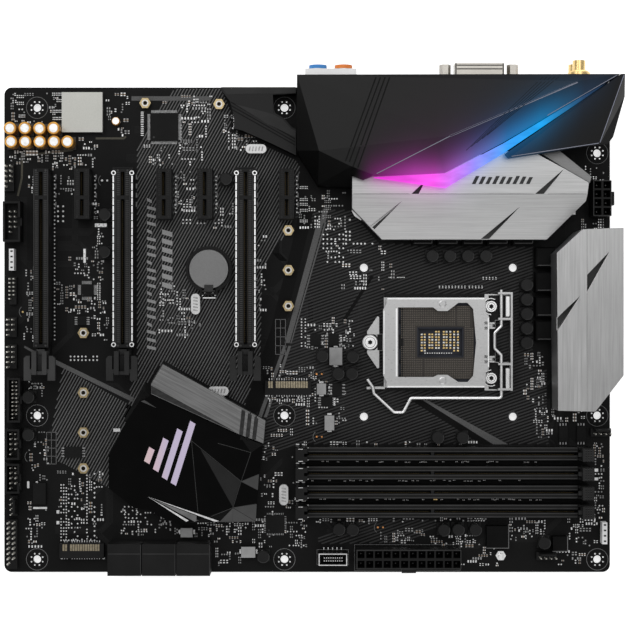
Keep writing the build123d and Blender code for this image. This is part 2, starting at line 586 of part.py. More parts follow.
# ---------------------------------------------------------------- headers
BOXED = {"box_10_pin": (1.0, 9.6, 57.9, 78.0), "usb3_20_pin": (3.0, 9.6, 145.9, 168.0),
         "usb2_upper": (2.0, 9.2, 171.4, 186.6), "usb2_lower": (2.0, 9.2, 188.6, 203.4)}


def boxed_header(left, right, rear, front):
    shroud = block(left, right, rear, front, 0.1, 9.0)
    shroud -= block(left + 1.0, right - 1.0, rear + 1.0, front - 1.0, 2.0, 10)
    middle = (rear + front) / 2
    return shroud - block(right - 1.2, right + 1, middle - 2.2, middle + 2.2, 4.0, 10)


PIN_STRIPS = [(0.7, 5.4, 38.6, 52.4), (2.8, 6.6, 95.4, 109.2), (1.7, 6.7, 115.6, 125.6),
              (1.7, 6.7, 129.4, 141.4), (2.0, 7.0, 217.2, 242.0)]


def fan_header(left, rear, along_x):
    """Four-pin base with its guide tab."""
    if along_x:
        return block(left, left + 10.2, rear, rear + 4.0, 0.1, 3.2) + \
            block(left + 1.4, left + 8.8, rear, rear + 1.0, 3.2, 10.6)
    return block(left, left + 4.0, rear, rear + 10.2, 0.1, 3.2) + \
        block(left + 3.0, left + 4.0, rear + 1.4, rear + 8.8, 3.2, 10.6)


def front_usb_header():
    shell = block(158.2, 172.4, 233.4, 239.4, 0.2, 8.0)
    shell -= block(159.0, 171.6, 234.2, 238.6, 1.4, 9.0)
    return shell + block(160.6, 170.0, 236.0, 236.8, 1.2, 7.2)


# ---------------------------------------------------------------- components on the board
CHOKE_LEFTS = (210.2, 222.7, 235.2, 247.7, 260.4)
CHOKE_REARS = (85.6, 98.0, 110.4, 122.4)


def choke(left, rear):
    body = block(left - 5.4, left + 5.4, rear - 5.0, rear + 5.0, 0.2, 7.2)
    return chamfer(body.edges().group_by(Axis.Z)[-1], 0.7)


SMALL_CHOKES = [(247.7, 225.6, 5.4), (279.0, 229.0, 3.6)]
GREY_CHOKES = [(166.8, 135.2, 3.3, 4.5), (159.6, 151.6, 2.4, 2.8), (163.6, 168.6, 2.5, 3.8),
               (122.9, 233.4, 3.6, 2.8), (92.0, 223.6, 3.1, 2.4)]
CAN_CAPACITORS = [(215.0, 85.0), (223.8, 85.0), (232.8, 85.0), (241.8, 85.0), (262.2, 99.4),
                  (262.2, 106.7), (262.2, 113.9), (262.2, 121.2), (262.2, 128.4), (160.0, 135.0),
                  (175.2, 135.4), (168.0, 143.8), (174.8, 143.8), (168.4, 221.6), (175.2, 221.8),
                  (217.8, 175.8), (230.2, 175.8), (220.8, 222.0), (228.0, 221.8), (236.6, 221.8),
                  (271.0, 228.4), (130.6, 235.2), (13.2, 155.6), (13.2, 174.4), (51.3, 64.3),
                  (51.2, 83.0), (111.9, 46.6)]
GOLD_CAPACITORS = [(4.4, 21.4), (11.8, 21.4), (19.1, 21.6), (26.1, 21.4), (4.9, 28.1),
                   (12.0, 28.1), (19.2, 28.1), (26.3, 28.1), (33.0, 28.2)]


def can_capacitor(left, rear, radius, height):
    base = block(left - radius, left + radius, rear - radius, rear + radius, 0.1, 1.0)
    can = post(left, rear, radius - 0.05, 1.0, height)
    return base + chamfer(can.edges().group_by(Axis.Z)[-1], 0.3)


CRYSTALS = [(96.5, 109.0, 2.25, 5.2), (140.7, 204.6, 2.25, 5.2), (107.9, 152.6, 5.2, 2.25),
            (126.8, 31.2, 5.2, 2.25)]


def crystal(left, rear, half_x, half_y):
    can = block(left - half_x, left + half_x, rear - half_y, rear + half_y, 0.2, 3.6)
    radius = min(half_x, half_y) - 0.05
    return fillet(can.edges().filter_by(Axis.Z), radius)


CHIPS = [(73.6, 87.6, 13.0, 27.0, 1.5), (38.7, 45.1, 99.0, 105.3, 1.2),
         (37.0, 41.4, 115.2, 119.6, 1.5), (30.4, 39.2, 180.8, 186.2, 1.6),
         (131.8, 140.9, 215.2, 224.2, 1.0), (153.9, 159.4, 124.1, 130.0, 1.5),
         (163.0, 168.4, 124.1, 130.0, 1.5), (159.4, 165.2, 155.8, 160.2, 1.5),
         (165.0, 170.0, 148.8, 155.2, 1.5), (279.0, 283.4, 170.4, 178.2, 1.4),
         (288.0, 292.4, 170.4, 178.2, 1.4), (14.8, 21.2, 198.8, 209.6, 2.2),
         (80.0, 103.0, 176.0, 200.0, 1.3)]


def chips():
    return [block(left, right, rear, front, 0.1, height) for left, right, rear, front, height in CHIPS]


def audio_shield():
    can = block(29.4, 49.8, 2.8, 22.8, 0.1, 3.2)
    return can - block(29.8, 49.4, 3.2, 22.4, 0, 2.8)


# ---------------------------------------------------------------- rear connectors
def audio_jacks():
    """Five sockets and an optical output in one housing."""
    body = block(151.6, 176.4, -4.4, 13.0, 0.2, 33.0)
    for left in (157.8, 170.2):
        for height in (6.2, 16.6, 27.0):
            if (left, height) == (170.2, 6.2):
                body -= block(left - 3.4, left + 3.4, -5, 3.0, height - 3.4, height + 3.4)
                continue
            body += barrel(left, -6.6, -4.0, height, 4.2)
            body -= barrel(left, -7.0, 9.0, height, 1.8)
    return body


def port_stack(left, right, mouths):
    """Metal-shelled housing with port mouths given as (low, high, tongue) heights."""
    body = block(left, right, -1.8, 15.5, 0.2, mouths[-1][1] + 1.0)
    for low, high, has_tongue in mouths:
        body -= block(left + 1.0, right - 1.0, -3, 9.0, low, high)
        if has_tongue:
            middle = (low + high) / 2
            body += block(left + 2.6, right - 2.6, -0.8, 9.5, middle + 0.2, middle + 1.8)
    return body


def lan_usb_ports():
    """Network port above two serial-bus ports."""
    return port_stack(179.6, 195.6, [(1.6, 6.6, True), (8.8, 13.8, True), (16.0, 28.0, False)])


def usb_ports():
    stack = [(1.6, 6.6, True), (8.8, 13.8, True)]
    return [port_stack(198.6, 213.4, stack)]


def video_ports():
    """Wide video port with two hex standoffs above a narrow one, and a narrow pair beside it."""
    middle, height = 236.5, 21.4
    body = block(middle - 20.2, middle + 20.2, 0.6, 13.0, 0.2, 26.6)
    body -= block(middle - 8.0, middle + 8.0, 0, 8.6, 3.0, 8.2)
    body += block(middle - 5.5, middle + 5.5, 1.2, 9.0, 5.0, 6.2)
    body += block(middle - 12.0, middle + 12.0, -8.2, 0.6, height - 4.2, height + 4.2)
    body -= block(middle - 11.1, middle + 11.1, -9.0, -3.6, height - 3.3, height + 3.3)
    for left in (middle - 16.5, middle + 16.5):
        stud = Pos(*spot(left, -3.6), TOP + height)
        body += stud * Rot(90, 0, 0) * extrude(RegularPolygon(2.8, 6), 4.2, both=True)
        body -= barrel(left, -9.0, -3.0, height, 1.4)
    second = port_stack(261.0, 277.6, [(1.6, 6.4, True), (9.4, 14.2, True)])
    return [body, second]


ANTENNA_LEFT = 285.6


def antenna_connectors():
    """Two threaded coaxial sockets, one above the other, on a bracket."""
    pieces = []
    for height in (8.6, 21.4):
        body = block(ANTENNA_LEFT - 4.4, ANTENNA_LEFT + 4.4, 0.4, 7.0, height - 4.4, height + 4.4)
        nut = Pos(*spot(ANTENNA_LEFT, -2.2), TOP + height)
        body += barrel(ANTENNA_LEFT, -4.0, 0.4, height, 5.4)
        body += nut * Rot(90, 0, 0) * extrude(RegularPolygon(4.6, 6), 2.7, both=True)
        body += barrel(ANTENNA_LEFT, -9.9, -4.9, height, 3.1)
        body -= barrel(ANTENNA_LEFT, -10.5, -5.5, height, 2.3)
        body += barrel(ANTENNA_LEFT, -8.4, -5.3, height, 0.6)
        pieces.append(body)
    pieces.append(block(ANTENNA_LEFT - 4.4, ANTENNA_LEFT + 4.4, 1.0, 6.4, 0.2, 4.4))
    pieces.append(block(ANTENNA_LEFT - 4.4, ANTENNA_LEFT + 4.4, 1.0, 6.4, 12.8, 17.2))
    joined = pieces[0]
    for piece in pieces[1:]:
        joined += piece
    return joined


# ---------------------------------------------------------------- write the nodes
def write_nodes():
    save("pcb", pcb())
    save("cpu_backplate", cpu_backplate())
    save("underside_screws", *underside_screws())
    save("m2_standoffs", *m2_standoffs())
    save("socket_base", socket_base())
    save("socket_contacts", socket_contacts())
    save("socket_frame", socket_frame())
    save("socket_screws", *socket_screws())
    save("load_plate", load_plate())
    save("socket_lever", socket_lever())
    for i in range(4):
        rear = FIRST_DIMM_REAR + i * DIMM_PITCH
        save(f"dimm_slot_{i + 1}", dimm_slot(rear))
        save(f"dimm_latch_{i + 1}", dimm_latch(rear))
    for number, position in enumerate((1, 3, 6), start=1):
        save(f"x16_slot_{number}", x16_slot(position * SLOT_PITCH))
        save(f"card_latch_{number}", card_latch(position * SLOT_PITCH))
    save("x1_slots", *[slot_body(position * SLOT_PITCH, X1_LENGTH) for position in (2, 4, 5, 7)])
    save("slot_shields", *[slot_shield(position * SLOT_PITCH) for position in (3, 6)])
    save("vrm_heatsink_rear", top_heatsink())
    save("vrm_heatsink_side", side_heatsink())
    save("heatsink_bridge", heatsink_bridge())
    save("io_cover", io_cover())
    save("io_cover_wing", io_cover_wing())
    save("wireless_cover", io_cover_tail())
    save("light_bar", light_bar())
    save("chipset_heatsink", chipset_heatsink())
    save("chipset_bar", chipset_bar())
    save("chipset_cover", chipset_cover())
    save("battery_holder", battery_holder())
    save("battery_clip", battery_clip())
    save("battery", battery())
    save("board_power_socket", board_power_socket())
    save("cpu_power_socket", cpu_power_socket())
    save("drive_ports", *[sata_stack(left, left + 16.6) for left in (53.9, 70.9, 87.9)])
    save("m2_sockets", m2_socket(131.4, 154.4, 147.4, 154.6), m2_socket(28.4, 50.6, 229.0, 236.4))
    save("boxed_headers", *[boxed_header(*place) for place in BOXED.values()])
    save("pin_headers", *[block(*place, 0.1, 2.6) for place in PIN_STRIPS])
    save("fan_headers", fan_header(3.2, 205.0, False), fan_header(267.4, 233.4, True),
         fan_header(294.6, 171.4, True))
    save("light_headers", block(3.5, 5.9, 81.4, 92.2, 0.1, 6.0), block(299.9, 302.4, 218.2, 229.0, 0.1, 6.0))
    save("front_usb_header", front_usb_header())
    chokes = [choke(left, 74.6) for left in CHOKE_LEFTS] + [choke(272.0, rear) for rear in CHOKE_REARS]
    save("power_chokes", *chokes)
    small = [block(x - half, x + half, y - half, y + half, 0.1, 4.4) for x, y, half in SMALL_CHOKES]
    grey = [block(x - w, x + w, y - d, y + d, 0.1, 3.4) for x, y, w, d in GREY_CHOKES]
    save("small_chokes", *small, *grey)
    save("capacitors", *[can_capacitor(left, rear, 3.15, 7.0) for left, rear in CAN_CAPACITORS])
    save("audio_capacitors", *[can_capacitor(left, rear, 3.15, 8.6) for left, rear in GOLD_CAPACITORS])
    save("crystals", *[crystal(*place) for place in CRYSTALS])
    save("chips", *chips())
    save("audio_shield", audio_shield())
    save("audio_jacks", audio_jacks())
    save("lan_usb_ports", lan_usb_ports())
    save("usb_ports", *usb_ports())
    save("video_ports", *video_ports())
    save("antenna_connectors", antenna_connectors())


os.makedirs("parts", exist_ok=True)
write_nodes()
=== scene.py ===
import math
import random

import bpy
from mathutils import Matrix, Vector


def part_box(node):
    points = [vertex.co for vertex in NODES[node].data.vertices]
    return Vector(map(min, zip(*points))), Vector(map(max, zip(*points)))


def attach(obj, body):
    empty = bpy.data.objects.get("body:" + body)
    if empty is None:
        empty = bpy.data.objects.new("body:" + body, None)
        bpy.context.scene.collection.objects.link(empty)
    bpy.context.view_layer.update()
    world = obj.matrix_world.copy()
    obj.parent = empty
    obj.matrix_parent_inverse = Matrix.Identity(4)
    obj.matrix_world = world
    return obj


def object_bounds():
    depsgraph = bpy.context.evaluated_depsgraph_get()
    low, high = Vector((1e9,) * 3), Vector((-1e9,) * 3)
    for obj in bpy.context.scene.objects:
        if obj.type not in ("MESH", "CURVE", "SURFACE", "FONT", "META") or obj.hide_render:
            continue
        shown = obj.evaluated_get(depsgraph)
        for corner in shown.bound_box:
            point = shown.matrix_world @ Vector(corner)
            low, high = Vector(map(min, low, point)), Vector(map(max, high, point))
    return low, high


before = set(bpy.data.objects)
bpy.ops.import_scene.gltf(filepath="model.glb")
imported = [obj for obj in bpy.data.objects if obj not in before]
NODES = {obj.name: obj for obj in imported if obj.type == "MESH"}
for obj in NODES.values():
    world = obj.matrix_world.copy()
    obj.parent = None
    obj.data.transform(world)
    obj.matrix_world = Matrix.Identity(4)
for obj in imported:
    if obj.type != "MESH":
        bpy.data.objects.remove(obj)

CAD_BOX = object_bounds()
MM = 0.001

# Places are board measures in millimetres, from the board's left edge and from its rear edge,
# and heights above the component side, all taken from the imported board's own box.
BOARD_LOW, BOARD_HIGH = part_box("pcb")
LEFT_EDGE, REAR_EDGE, TOP = BOARD_LOW.x, BOARD_HIGH.y, BOARD_HIGH.z
BOARD_LENGTH = (BOARD_HIGH.x - BOARD_LOW.x) / MM
BOARD_DEPTH = (BOARD_HIGH.y - BOARD_LOW.y) / MM
THICKNESS = 1.6
SLOT_PITCH = 20.32
SLOT_REAR = 41.8
FIRST_DIMM, DIMM_PITCH = 183.6, 9.5
LONG_SLOTS, SHORT_SLOTS = (1, 3, 6), (2, 4, 5, 7)
ARMOURED = (3, 6)
CASE_HOLES = [(16.51, 10.16), (140.97, 10.16), (298.45, 33.02)]
CASE_HOLES += [(left, rear) for rear in (165.1, 237.49) for left in (16.51, 140.97, 298.45)]
SILK_LOW, SILK_HIGH = 0.0, 0.03


def place(left, rear, height=0.0):
    """Board measures to the frame's metres."""
    return (LEFT_EDGE + left * MM, REAR_EDGE - rear * MM, TOP + height * MM)


def measures(node):
    """A CAD node's box as board measures: left, right, rear, front, low, high."""
    low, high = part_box(node)
    return ((low.x - LEFT_EDGE) / MM, (high.x - LEFT_EDGE) / MM, (REAR_EDGE - high.y) / MM,
            (REAR_EDGE - low.y) / MM, (low.z - TOP) / MM, (high.z - TOP) / MM)


def wound(outline):
    """A plan outline in the order that makes its top face up."""
    area = sum(a[0] * b[1] - b[0] * a[1] for a, b in zip(outline, outline[1:] + outline[:1]))
    return outline if area < 0 else outline[::-1]


# ---------------------------------------------------------------- mesh building
class Pile:
    """Collects many closed solids into one mesh."""

    def __init__(self):
        self.points = []
        self.faces = []

    def solid(self, lower, upper):
        """A closed solid between two rings of frame points, lower and upper, anticlockwise."""
        first, count = len(self.points), len(lower)
        self.points += lower + upper
        self.faces.append([first + i for i in reversed(range(count))])
        self.faces.append([first + count + i for i in range(count)])
        for i in range(count):
            j = (i + 1) % count
            self.faces.append([first + i, first + j, first + count + j, first + count + i])

    def prism(self, outline, low, high):
        """An upright solid over a plan outline."""
        ring = wound(outline)
        self.solid([place(x, y, low) for x, y in ring], [place(x, y, high) for x, y in ring])

    def box(self, left, right, rear, front, low, high):
        self.prism([(left, rear), (right, rear), (right, front), (left, front)], low, high)

    def slab(self, left, rear, width, depth, low, high, turn=0.0):
        """A box by its centre and size, turned in plan by an angle in degrees."""
        c, s = math.cos(math.radians(turn)), math.sin(math.radians(turn))
        corners = [(-width / 2, -depth / 2), (width / 2, -depth / 2), (width / 2, depth / 2),
                   (-width / 2, depth / 2)]
        self.prism([(left + x * c - y * s, rear + x * s + y * c) for x, y in corners], low, high)

    def disc(self, left, rear, radius, low, high, sides=16, top=1.0):
        """A round solid, its top wider or narrower by a ratio."""
        angles = [-2 * math.pi * i / sides for i in range(sides)]
        rings = []
        for height, size in ((low, radius), (high, radius * top)):
            rings.append([place(left + size * math.cos(a), rear + size * math.sin(a), height)
                          for a in angles])
        self.solid(*rings)

    def arc(self, left, rear, radius, width, low, high, start=0, end=360, sides=32):
        """Part of a flat ring, made of short closed blocks."""
        steps = max(3, int(sides * abs(end - start) / 360))
        for i in range(steps):
            a = math.radians(start + (end - start) * i / steps)
            b = math.radians(start + (end - start) * (i + 1) / steps)
            inner, outer = radius - width / 2, radius + width / 2
            self.prism([(left + inner * math.cos(a), rear + inner * math.sin(a)),
                        (left + outer * math.cos(a), rear + outer * math.sin(a)),
                        (left + outer * math.cos(b), rear + outer * math.sin(b)),
                        (left + inner * math.cos(b), rear + inner * math.sin(b))], low, high)

    def line(self, points, width, low, high):
        """A flat line through board measures, one block for each straight run."""
        for (x0, y0), (x1, y1) in zip(points, points[1:]):
            run = math.hypot(x1 - x0, y1 - y0)
            if run > 1e-6:
                turn = math.degrees(math.atan2(y1 - y0, x1 - x0))
                self.slab((x0 + x1) / 2, (y0 + y1) / 2, run, width, low, high, turn)

    def frame_box(self, left, right, rear, front, width, low, high):
        """A rectangular outline with one printed line's width."""
        self.box(left, right, rear, rear + width, low, high)
        self.box(left, right, front - width, front, low, high)
        self.box(left, left + width, rear + width, front - width, low, high)
        self.box(right - width, right, rear + width, front - width, low, high)

    def upright(self, left, rear, width, low, high):
        """A square pin with a tapered tip."""
        half = width / 2
        self.box(left - half, left + half, rear - half, rear + half, low, high - 0.4)
        rings = []
        for height, size in ((high - 0.4, half), (high, half * 0.5)):
            rings.append([place(left + x * size, rear + y * size, height)
                          for x, y in ((-1, 1), (1, 1), (1, -1), (-1, -1))])
        self.solid(*rings)

    def make(self, name, material, body="board"):
        """Turns the pile into one mesh that rides on a body."""
        mesh = bpy.data.meshes.new(name)
        mesh.from_pydata(self.points, [], self.faces)
        mesh.validate()
        mesh.update()
        mesh.materials.append(material)
        piece = bpy.data.objects.new(name, mesh)
        bpy.context.scene.collection.objects.link(piece)
        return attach(piece, body)


# ---------------------------------------------------------------- materials
class Nodes:
    """Short names for building a node material."""

    def __init__(self, name):
        self.material = bpy.data.materials.new(name)
        self.material.use_nodes = True
        self.tree = self.material.node_tree
        self.shader = self.tree.nodes["Principled BSDF"]
        geometry = self.tree.nodes.new("ShaderNodeTexCoord")
        self.position = geometry.outputs["Object"]
        self.facing = geometry.outputs["Normal"]

    def link(self, value, socket):
        if isinstance(value, bpy.types.NodeSocket):
            self.tree.links.new(value, socket)
        else:
            socket.default_value = value

    def put(self, name, value):
        """Sets one input of the shader to a constant or to another node's output."""
        self.link(value, self.shader.inputs[name])

    def maths(self, operation, a, b=0.0, clamp=False):
        node = self.tree.nodes.new("ShaderNodeMath")
        node.operation = operation
        node.use_clamp = clamp
        self.link(a, node.inputs[0])
        self.link(b, node.inputs[1])
        return node.outputs[0]

    def axes(self, vector=None):
        node = self.tree.nodes.new("ShaderNodeSeparateXYZ")
        self.link(vector or self.position, node.inputs[0])
        return node.outputs

    def stretched(self, scale):
        node = self.tree.nodes.new("ShaderNodeMapping")
        self.link(self.position, node.inputs["Vector"])
        node.inputs["Scale"].default_value = scale
        return node.outputs[0]

    def noise(self, scale, detail=3.0, vector=None, roughness=0.5):
        node = self.tree.nodes.new("ShaderNodeTexNoise")
        self.link(vector or self.position, node.inputs["Vector"])
        node.inputs["Scale"].default_value = scale
        node.inputs["Detail"].default_value = detail
        node.inputs["Roughness"].default_value = roughness
        return node.outputs["Fac"]

    def ramp(self, value, stops):
        node = self.tree.nodes.new("ShaderNodeValToRGB")
        while len(node.color_ramp.elements) < len(stops):
            node.color_ramp.elements.new(0.5)
        for element, (at, colour) in zip(node.color_ramp.elements, stops):
            element.position = at
            element.color = (*grey(colour), 1.0)
        self.link(value, node.inputs[0])
        return node.outputs[0]

    def spread(self, value, low, high):
        """Maps 0..1 noise to a range."""
        node = self.tree.nodes.new("ShaderNodeMapRange")
        self.link(value, node.inputs[0])
        node.inputs[1].default_value = 0.3
        node.inputs[2].default_value = 0.7
        node.inputs[3].default_value = low
        node.inputs[4].default_value = high
        return node.outputs[0]

    def blend(self, share, first, second):
        node = self.tree.nodes.new("ShaderNodeMix")
        node.data_type = "RGBA"
        self.link(share, node.inputs[0])
        self.link(first, node.inputs[6])
        self.link(second, node.inputs[7])
        return node.outputs[2]

    def bump(self, value, strength, distance):
        node = self.tree.nodes.new("ShaderNodeBump")
        node.inputs["Strength"].default_value = strength
        node.inputs["Distance"].default_value = distance
        self.link(value, node.inputs["Height"])
        self.link(node.outputs[0], self.shader.inputs["Normal"])


def grey(value):
    """A colour as it is, or the grey of one number."""
    return value if isinstance(value, tuple) else (value, value, value)


def plastic(name, dark, light, roughness=0.5, grain=2200.0, bump=0.15, specular=0.16):
    """Moulded plastic: fine grain, slight tone change and uneven sheen."""
    n = Nodes(name)
    tone = n.noise(90.0, 4.0)
    fine = n.noise(grain, 3.0)
    n.put("Base Color", n.ramp(tone, [(0.3, dark), (0.7, light)]))
    n.put("Roughness", n.spread(fine, roughness - 0.06, roughness + 0.08))
    n.put("Specular IOR Level", specular)
    n.bump(fine, bump, 0.00008)
    return n.material


def metal(name, dark, light, roughness, stretch=(1, 1, 1), scale=900.0, bump=0.1, metallic=1.0):
    """Metal with grain along one axis when stretch says so, and a cloudy sheen."""
    n = Nodes(name)
    grain = n.noise(scale, 6.0, n.stretched(stretch), 0.6)
    cloud = n.noise(60.0, 3.0)
    mixed = n.maths("ADD", n.maths("MULTIPLY", grain, 0.75), n.maths("MULTIPLY", cloud, 0.25))
    n.put("Base Color", n.ramp(mixed, [(0.32, dark), (0.68, light)]))
    n.put("Roughness", n.spread(grain, roughness - 0.08, roughness + 0.1))
    n.put("Metallic", metallic)
    n.bump(grain, bump, 0.00006)
    return n.material


GLOW_COLOURS = [(0.0, (0.75, 0.02, 0.60)), (0.25, (1.0, 0.10, 0.90)), (0.33, (0.70, 0.20, 1.0)),
                (0.42, (0.30, 0.28, 1.0)), (0.55, (0.03, 0.36, 0.98)), (0.68, (0.0, 0.36, 0.86)),
                (0.78, (0.01, 0.16, 0.36)), (0.86, (0.01, 0.05, 0.12)), (1.0, (0.0, 0.004, 0.012))]
BAR_TIP, BAR_BEND, BAR_END = (184.4, 47.9), (219.6, 49.0), (302.0, -0.5)


def along_bar(n, sockets):
    """0 at the light bar's left tip, 1 at its far right end."""
    start, _, _ = place(*BAR_TIP)
    end, _, _ = place(*BAR_END)
    return n.maths("DIVIDE", n.maths("SUBTRACT", sockets[0], start), end - start)


def distance_to_run(n, sockets, first, last):
    """Distance in plan from a surface point to one straight run of the light bar."""
    x0, y0, _ = place(*first)
    x1, y1, _ = place(*last)
    run = math.hypot(x1 - x0, y1 - y0)
    ux, uy = (x1 - x0) / run, (y1 - y0) / run
    dx = n.maths("SUBTRACT", sockets[0], x0)
    dy = n.maths("SUBTRACT", sockets[1], y0)
    along = n.maths("ADD", n.maths("MULTIPLY", dx, ux), n.maths("MULTIPLY", dy, uy))
    held = n.maths("MINIMUM", n.maths("MAXIMUM", along, 0.0), run)
    ex = n.maths("SUBTRACT", dx, n.maths("MULTIPLY", held, ux))
    ey = n.maths("SUBTRACT", dy, n.maths("MULTIPLY", held, uy))
    return n.maths("SQRT", n.maths("ADD", n.maths("MULTIPLY", ex, ex), n.maths("MULTIPLY", ey, ey)))


def add_glow(n, strength, reach):
    """Coloured light from the bar lying on a surface near it."""
    sockets = n.axes()
    near = n.maths("MINIMUM", distance_to_run(n, sockets, BAR_TIP, BAR_BEND),
                   distance_to_run(n, sockets, BAR_BEND, BAR_END))
    ratio = n.maths("DIVIDE", near, reach)
    fall = n.maths("DIVIDE", 1.0, n.maths("ADD", 1.0, n.maths("MULTIPLY", ratio, ratio)))
    fall = n.maths("POWER", fall, 2.0)
    share = along_bar(n, sockets)
    start = n.maths("DIVIDE", n.maths("ADD", share, 0.07), 0.24, clamp=True)
    fall = n.maths("MULTIPLY", fall, start)
    n.put("Emission Color", n.ramp(share, GLOW_COLOURS))
    n.put("Emission Strength", n.maths("MULTIPLY", fall, strength))


def can_sleeve(name, sleeve_dark, sleeve_light):
    """Printed metal sleeve standing on a black moulded base."""
    n = Nodes(name)
    height = n.axes()[2]
    above = n.maths("GREATER_THAN", height, TOP + 1.02 * MM)
    tone = n.ramp(n.noise(300.0), [(0.3, sleeve_dark), (0.7, sleeve_light)])
    base = n.ramp(n.noise(900.0), [(0.3, grey(0.004)), (0.7, grey(0.007))])
    n.put("Base Color", n.blend(above, base, tone))
    n.put("Metallic", n.maths("MULTIPLY", above, 0.8))
    n.put("Roughness", n.spread(n.noise(800.0), 0.28, 0.4))
    return n.material


def cover_plastic(name, glow, reach):
    """Matt shroud plastic with painted shade on tilted facets and the light bar's colour falling on it as
    painted glow.
    """
    n = Nodes(name)
    fine = n.noise(3000.0, 2.0)
    tone = n.noise(25.0, 3.0)
    # Painted shade: the base colour darkens and the specular drops as a facet tilts away from straight
    # up.
    upright = n.axes(n.facing)[2]
    uneven = n.maths("ADD", 0.8, n.maths("MULTIPLY", tone, 0.4))
    shade = n.maths("MULTIPLY", n.maths("ADD", upright, -0.2), uneven)
    n.put("Base Color", n.ramp(shade, [(0.15, grey(0.0015)), (0.8, grey(0.0085))]))
    n.put("Roughness", n.spread(fine, 0.42, 0.52))
    n.put("Specular IOR Level", n.maths("MULTIPLY", n.maths("MAXIMUM", upright, 0.1), 0.20))
    n.bump(fine, 0.10, 0.00005)
    add_glow(n, glow, reach)
    return n.material


def crease_shaded_aluminium(name, axis, crease, stretch, glow):
    """Brushed aluminium with painted shade: a little darker on the far side of the crease along its
    length, where the facet turns from the lamps; painted glow from the bar when glow is given.
    """
    n = Nodes(name)
    grain = n.noise(1500.0, 5.0, n.stretched(stretch), 0.65)
    cloud = n.noise(45.0, 3.0)
    mixed = n.maths("ADD", n.maths("MULTIPLY", grain, 0.85), n.maths("MULTIPLY", cloud, 0.15))
    # Painted shade: one facet of the crease gets the lit ramp, the other the shaded one.
    beyond = n.maths("GREATER_THAN", n.axes()[axis], place(crease, crease)[axis])
    light = n.ramp(mixed, [(0.34, grey(0.43)), (0.66, grey(0.57))])
    dark = n.ramp(mixed, [(0.34, grey(0.33)), (0.66, grey(0.45))])
    lit_and_shaded_tones = (light, dark) if axis == 0 else (dark, light)
    n.put("Base Color", n.blend(beyond, *lit_and_shaded_tones))
    n.put("Roughness", n.spread(grain, 0.32, 0.40))
    n.put("Metallic", 1.0)
    n.bump(grain, 0.05, 0.00003)
    if glow:
        add_glow(n, glow, 0.007)
    return n.material


def brushed_bar(name):
    """Dark brushed aluminium with its grain along the slanted bar."""
    n = Nodes(name)
    turned = n.tree.nodes.new("ShaderNodeMapping")
    n.link(n.position, turned.inputs["Vector"])
    turned.inputs["Rotation"].default_value = (0.0, 0.0, math.radians(28.8))
    squash = n.tree.nodes.new("ShaderNodeMapping")
    n.link(turned.outputs[0], squash.inputs["Vector"])
    squash.inputs["Scale"].default_value = (0.03, 1.0, 1.0)
    grain = n.noise(1500.0, 5.0, squash.outputs[0], 0.6)
    n.put("Base Color", n.ramp(grain, [(0.36, grey(0.15)), (0.64, grey(0.23))]))
    n.put("Roughness", n.spread(grain, 0.34, 0.44))
    n.put("Metallic", 1.0)
    n.bump(grain, 0.06, 0.00003)
    return n.material


def light_guide(name):
    """Frosted bar lit from inside, changing colour along its length."""
    n = Nodes(name)
    sockets = n.axes()
    streak = n.noise(260.0, 3.0, n.stretched((0.3, 1.0, 1.0)))
    n.put("Emission Color", n.ramp(along_bar(n, sockets), GLOW_COLOURS))
    n.put("Base Color", n.ramp(streak, [(0.3, (0.014, 0.010, 0.016)), (0.7, (0.022, 0.018, 0.026))]))
    n.put("Emission Strength", n.spread(streak, 0.85, 1.15))
    n.put("Roughness", 0.55)
    n.put("Specular IOR Level", 0.06)
    return n.material


def board_lacquer(name):
    """Black solder mask: nearly black, with a faint weave and soft cloudy sheen."""
    n = Nodes(name)
    weave = n.noise(1500.0, 2.0)
    cloud = n.noise(30.0, 4.0)
    n.put("Base Color", n.ramp(cloud, [(0.3, grey(0.0028)), (0.7, grey(0.0055))]))
    n.put("Roughness", n.spread(weave, 0.42, 0.55))
    n.put("Specular IOR Level", 0.10)
    n.bump(weave, 0.12, 0.00004)
    return n.material


def printed_ink(name, dark, light, specular=0.12):
    """Printed ink: a matt colour with a fine speck."""
    n = Nodes(name)
    speck = n.noise(1800.0, 3.0)
    n.put("Base Color", n.ramp(speck, [(0.35, dark), (0.6, light)]))
    n.put("Roughness", n.spread(speck, 0.55, 0.75))
    n.put("Specular IOR Level", specular)
    return n.material


def pearl(name):
    """Pale iridescent foil of the mark: pink, lilac and cream by place."""
    n = Nodes(name)
    sockets = n.axes()
    low, _, _ = place(66.0, 190.0)
    high, _, _ = place(92.0, 190.0)
    share = n.maths("DIVIDE", n.maths("SUBTRACT", sockets[0], low), high - low)
    wobble = n.maths("ADD", share, n.maths("MULTIPLY", n.noise(80.0), 0.15))
    foil = [(0.1, (0.72, 0.64, 0.56)), (0.4, (0.75, 0.55, 0.60)), (0.75, (0.62, 0.54, 0.72))]
    n.put("Base Color", n.ramp(wobble, foil))
    n.put("Metallic", 0.35)
    n.put("Roughness", 0.35)
    return n.material


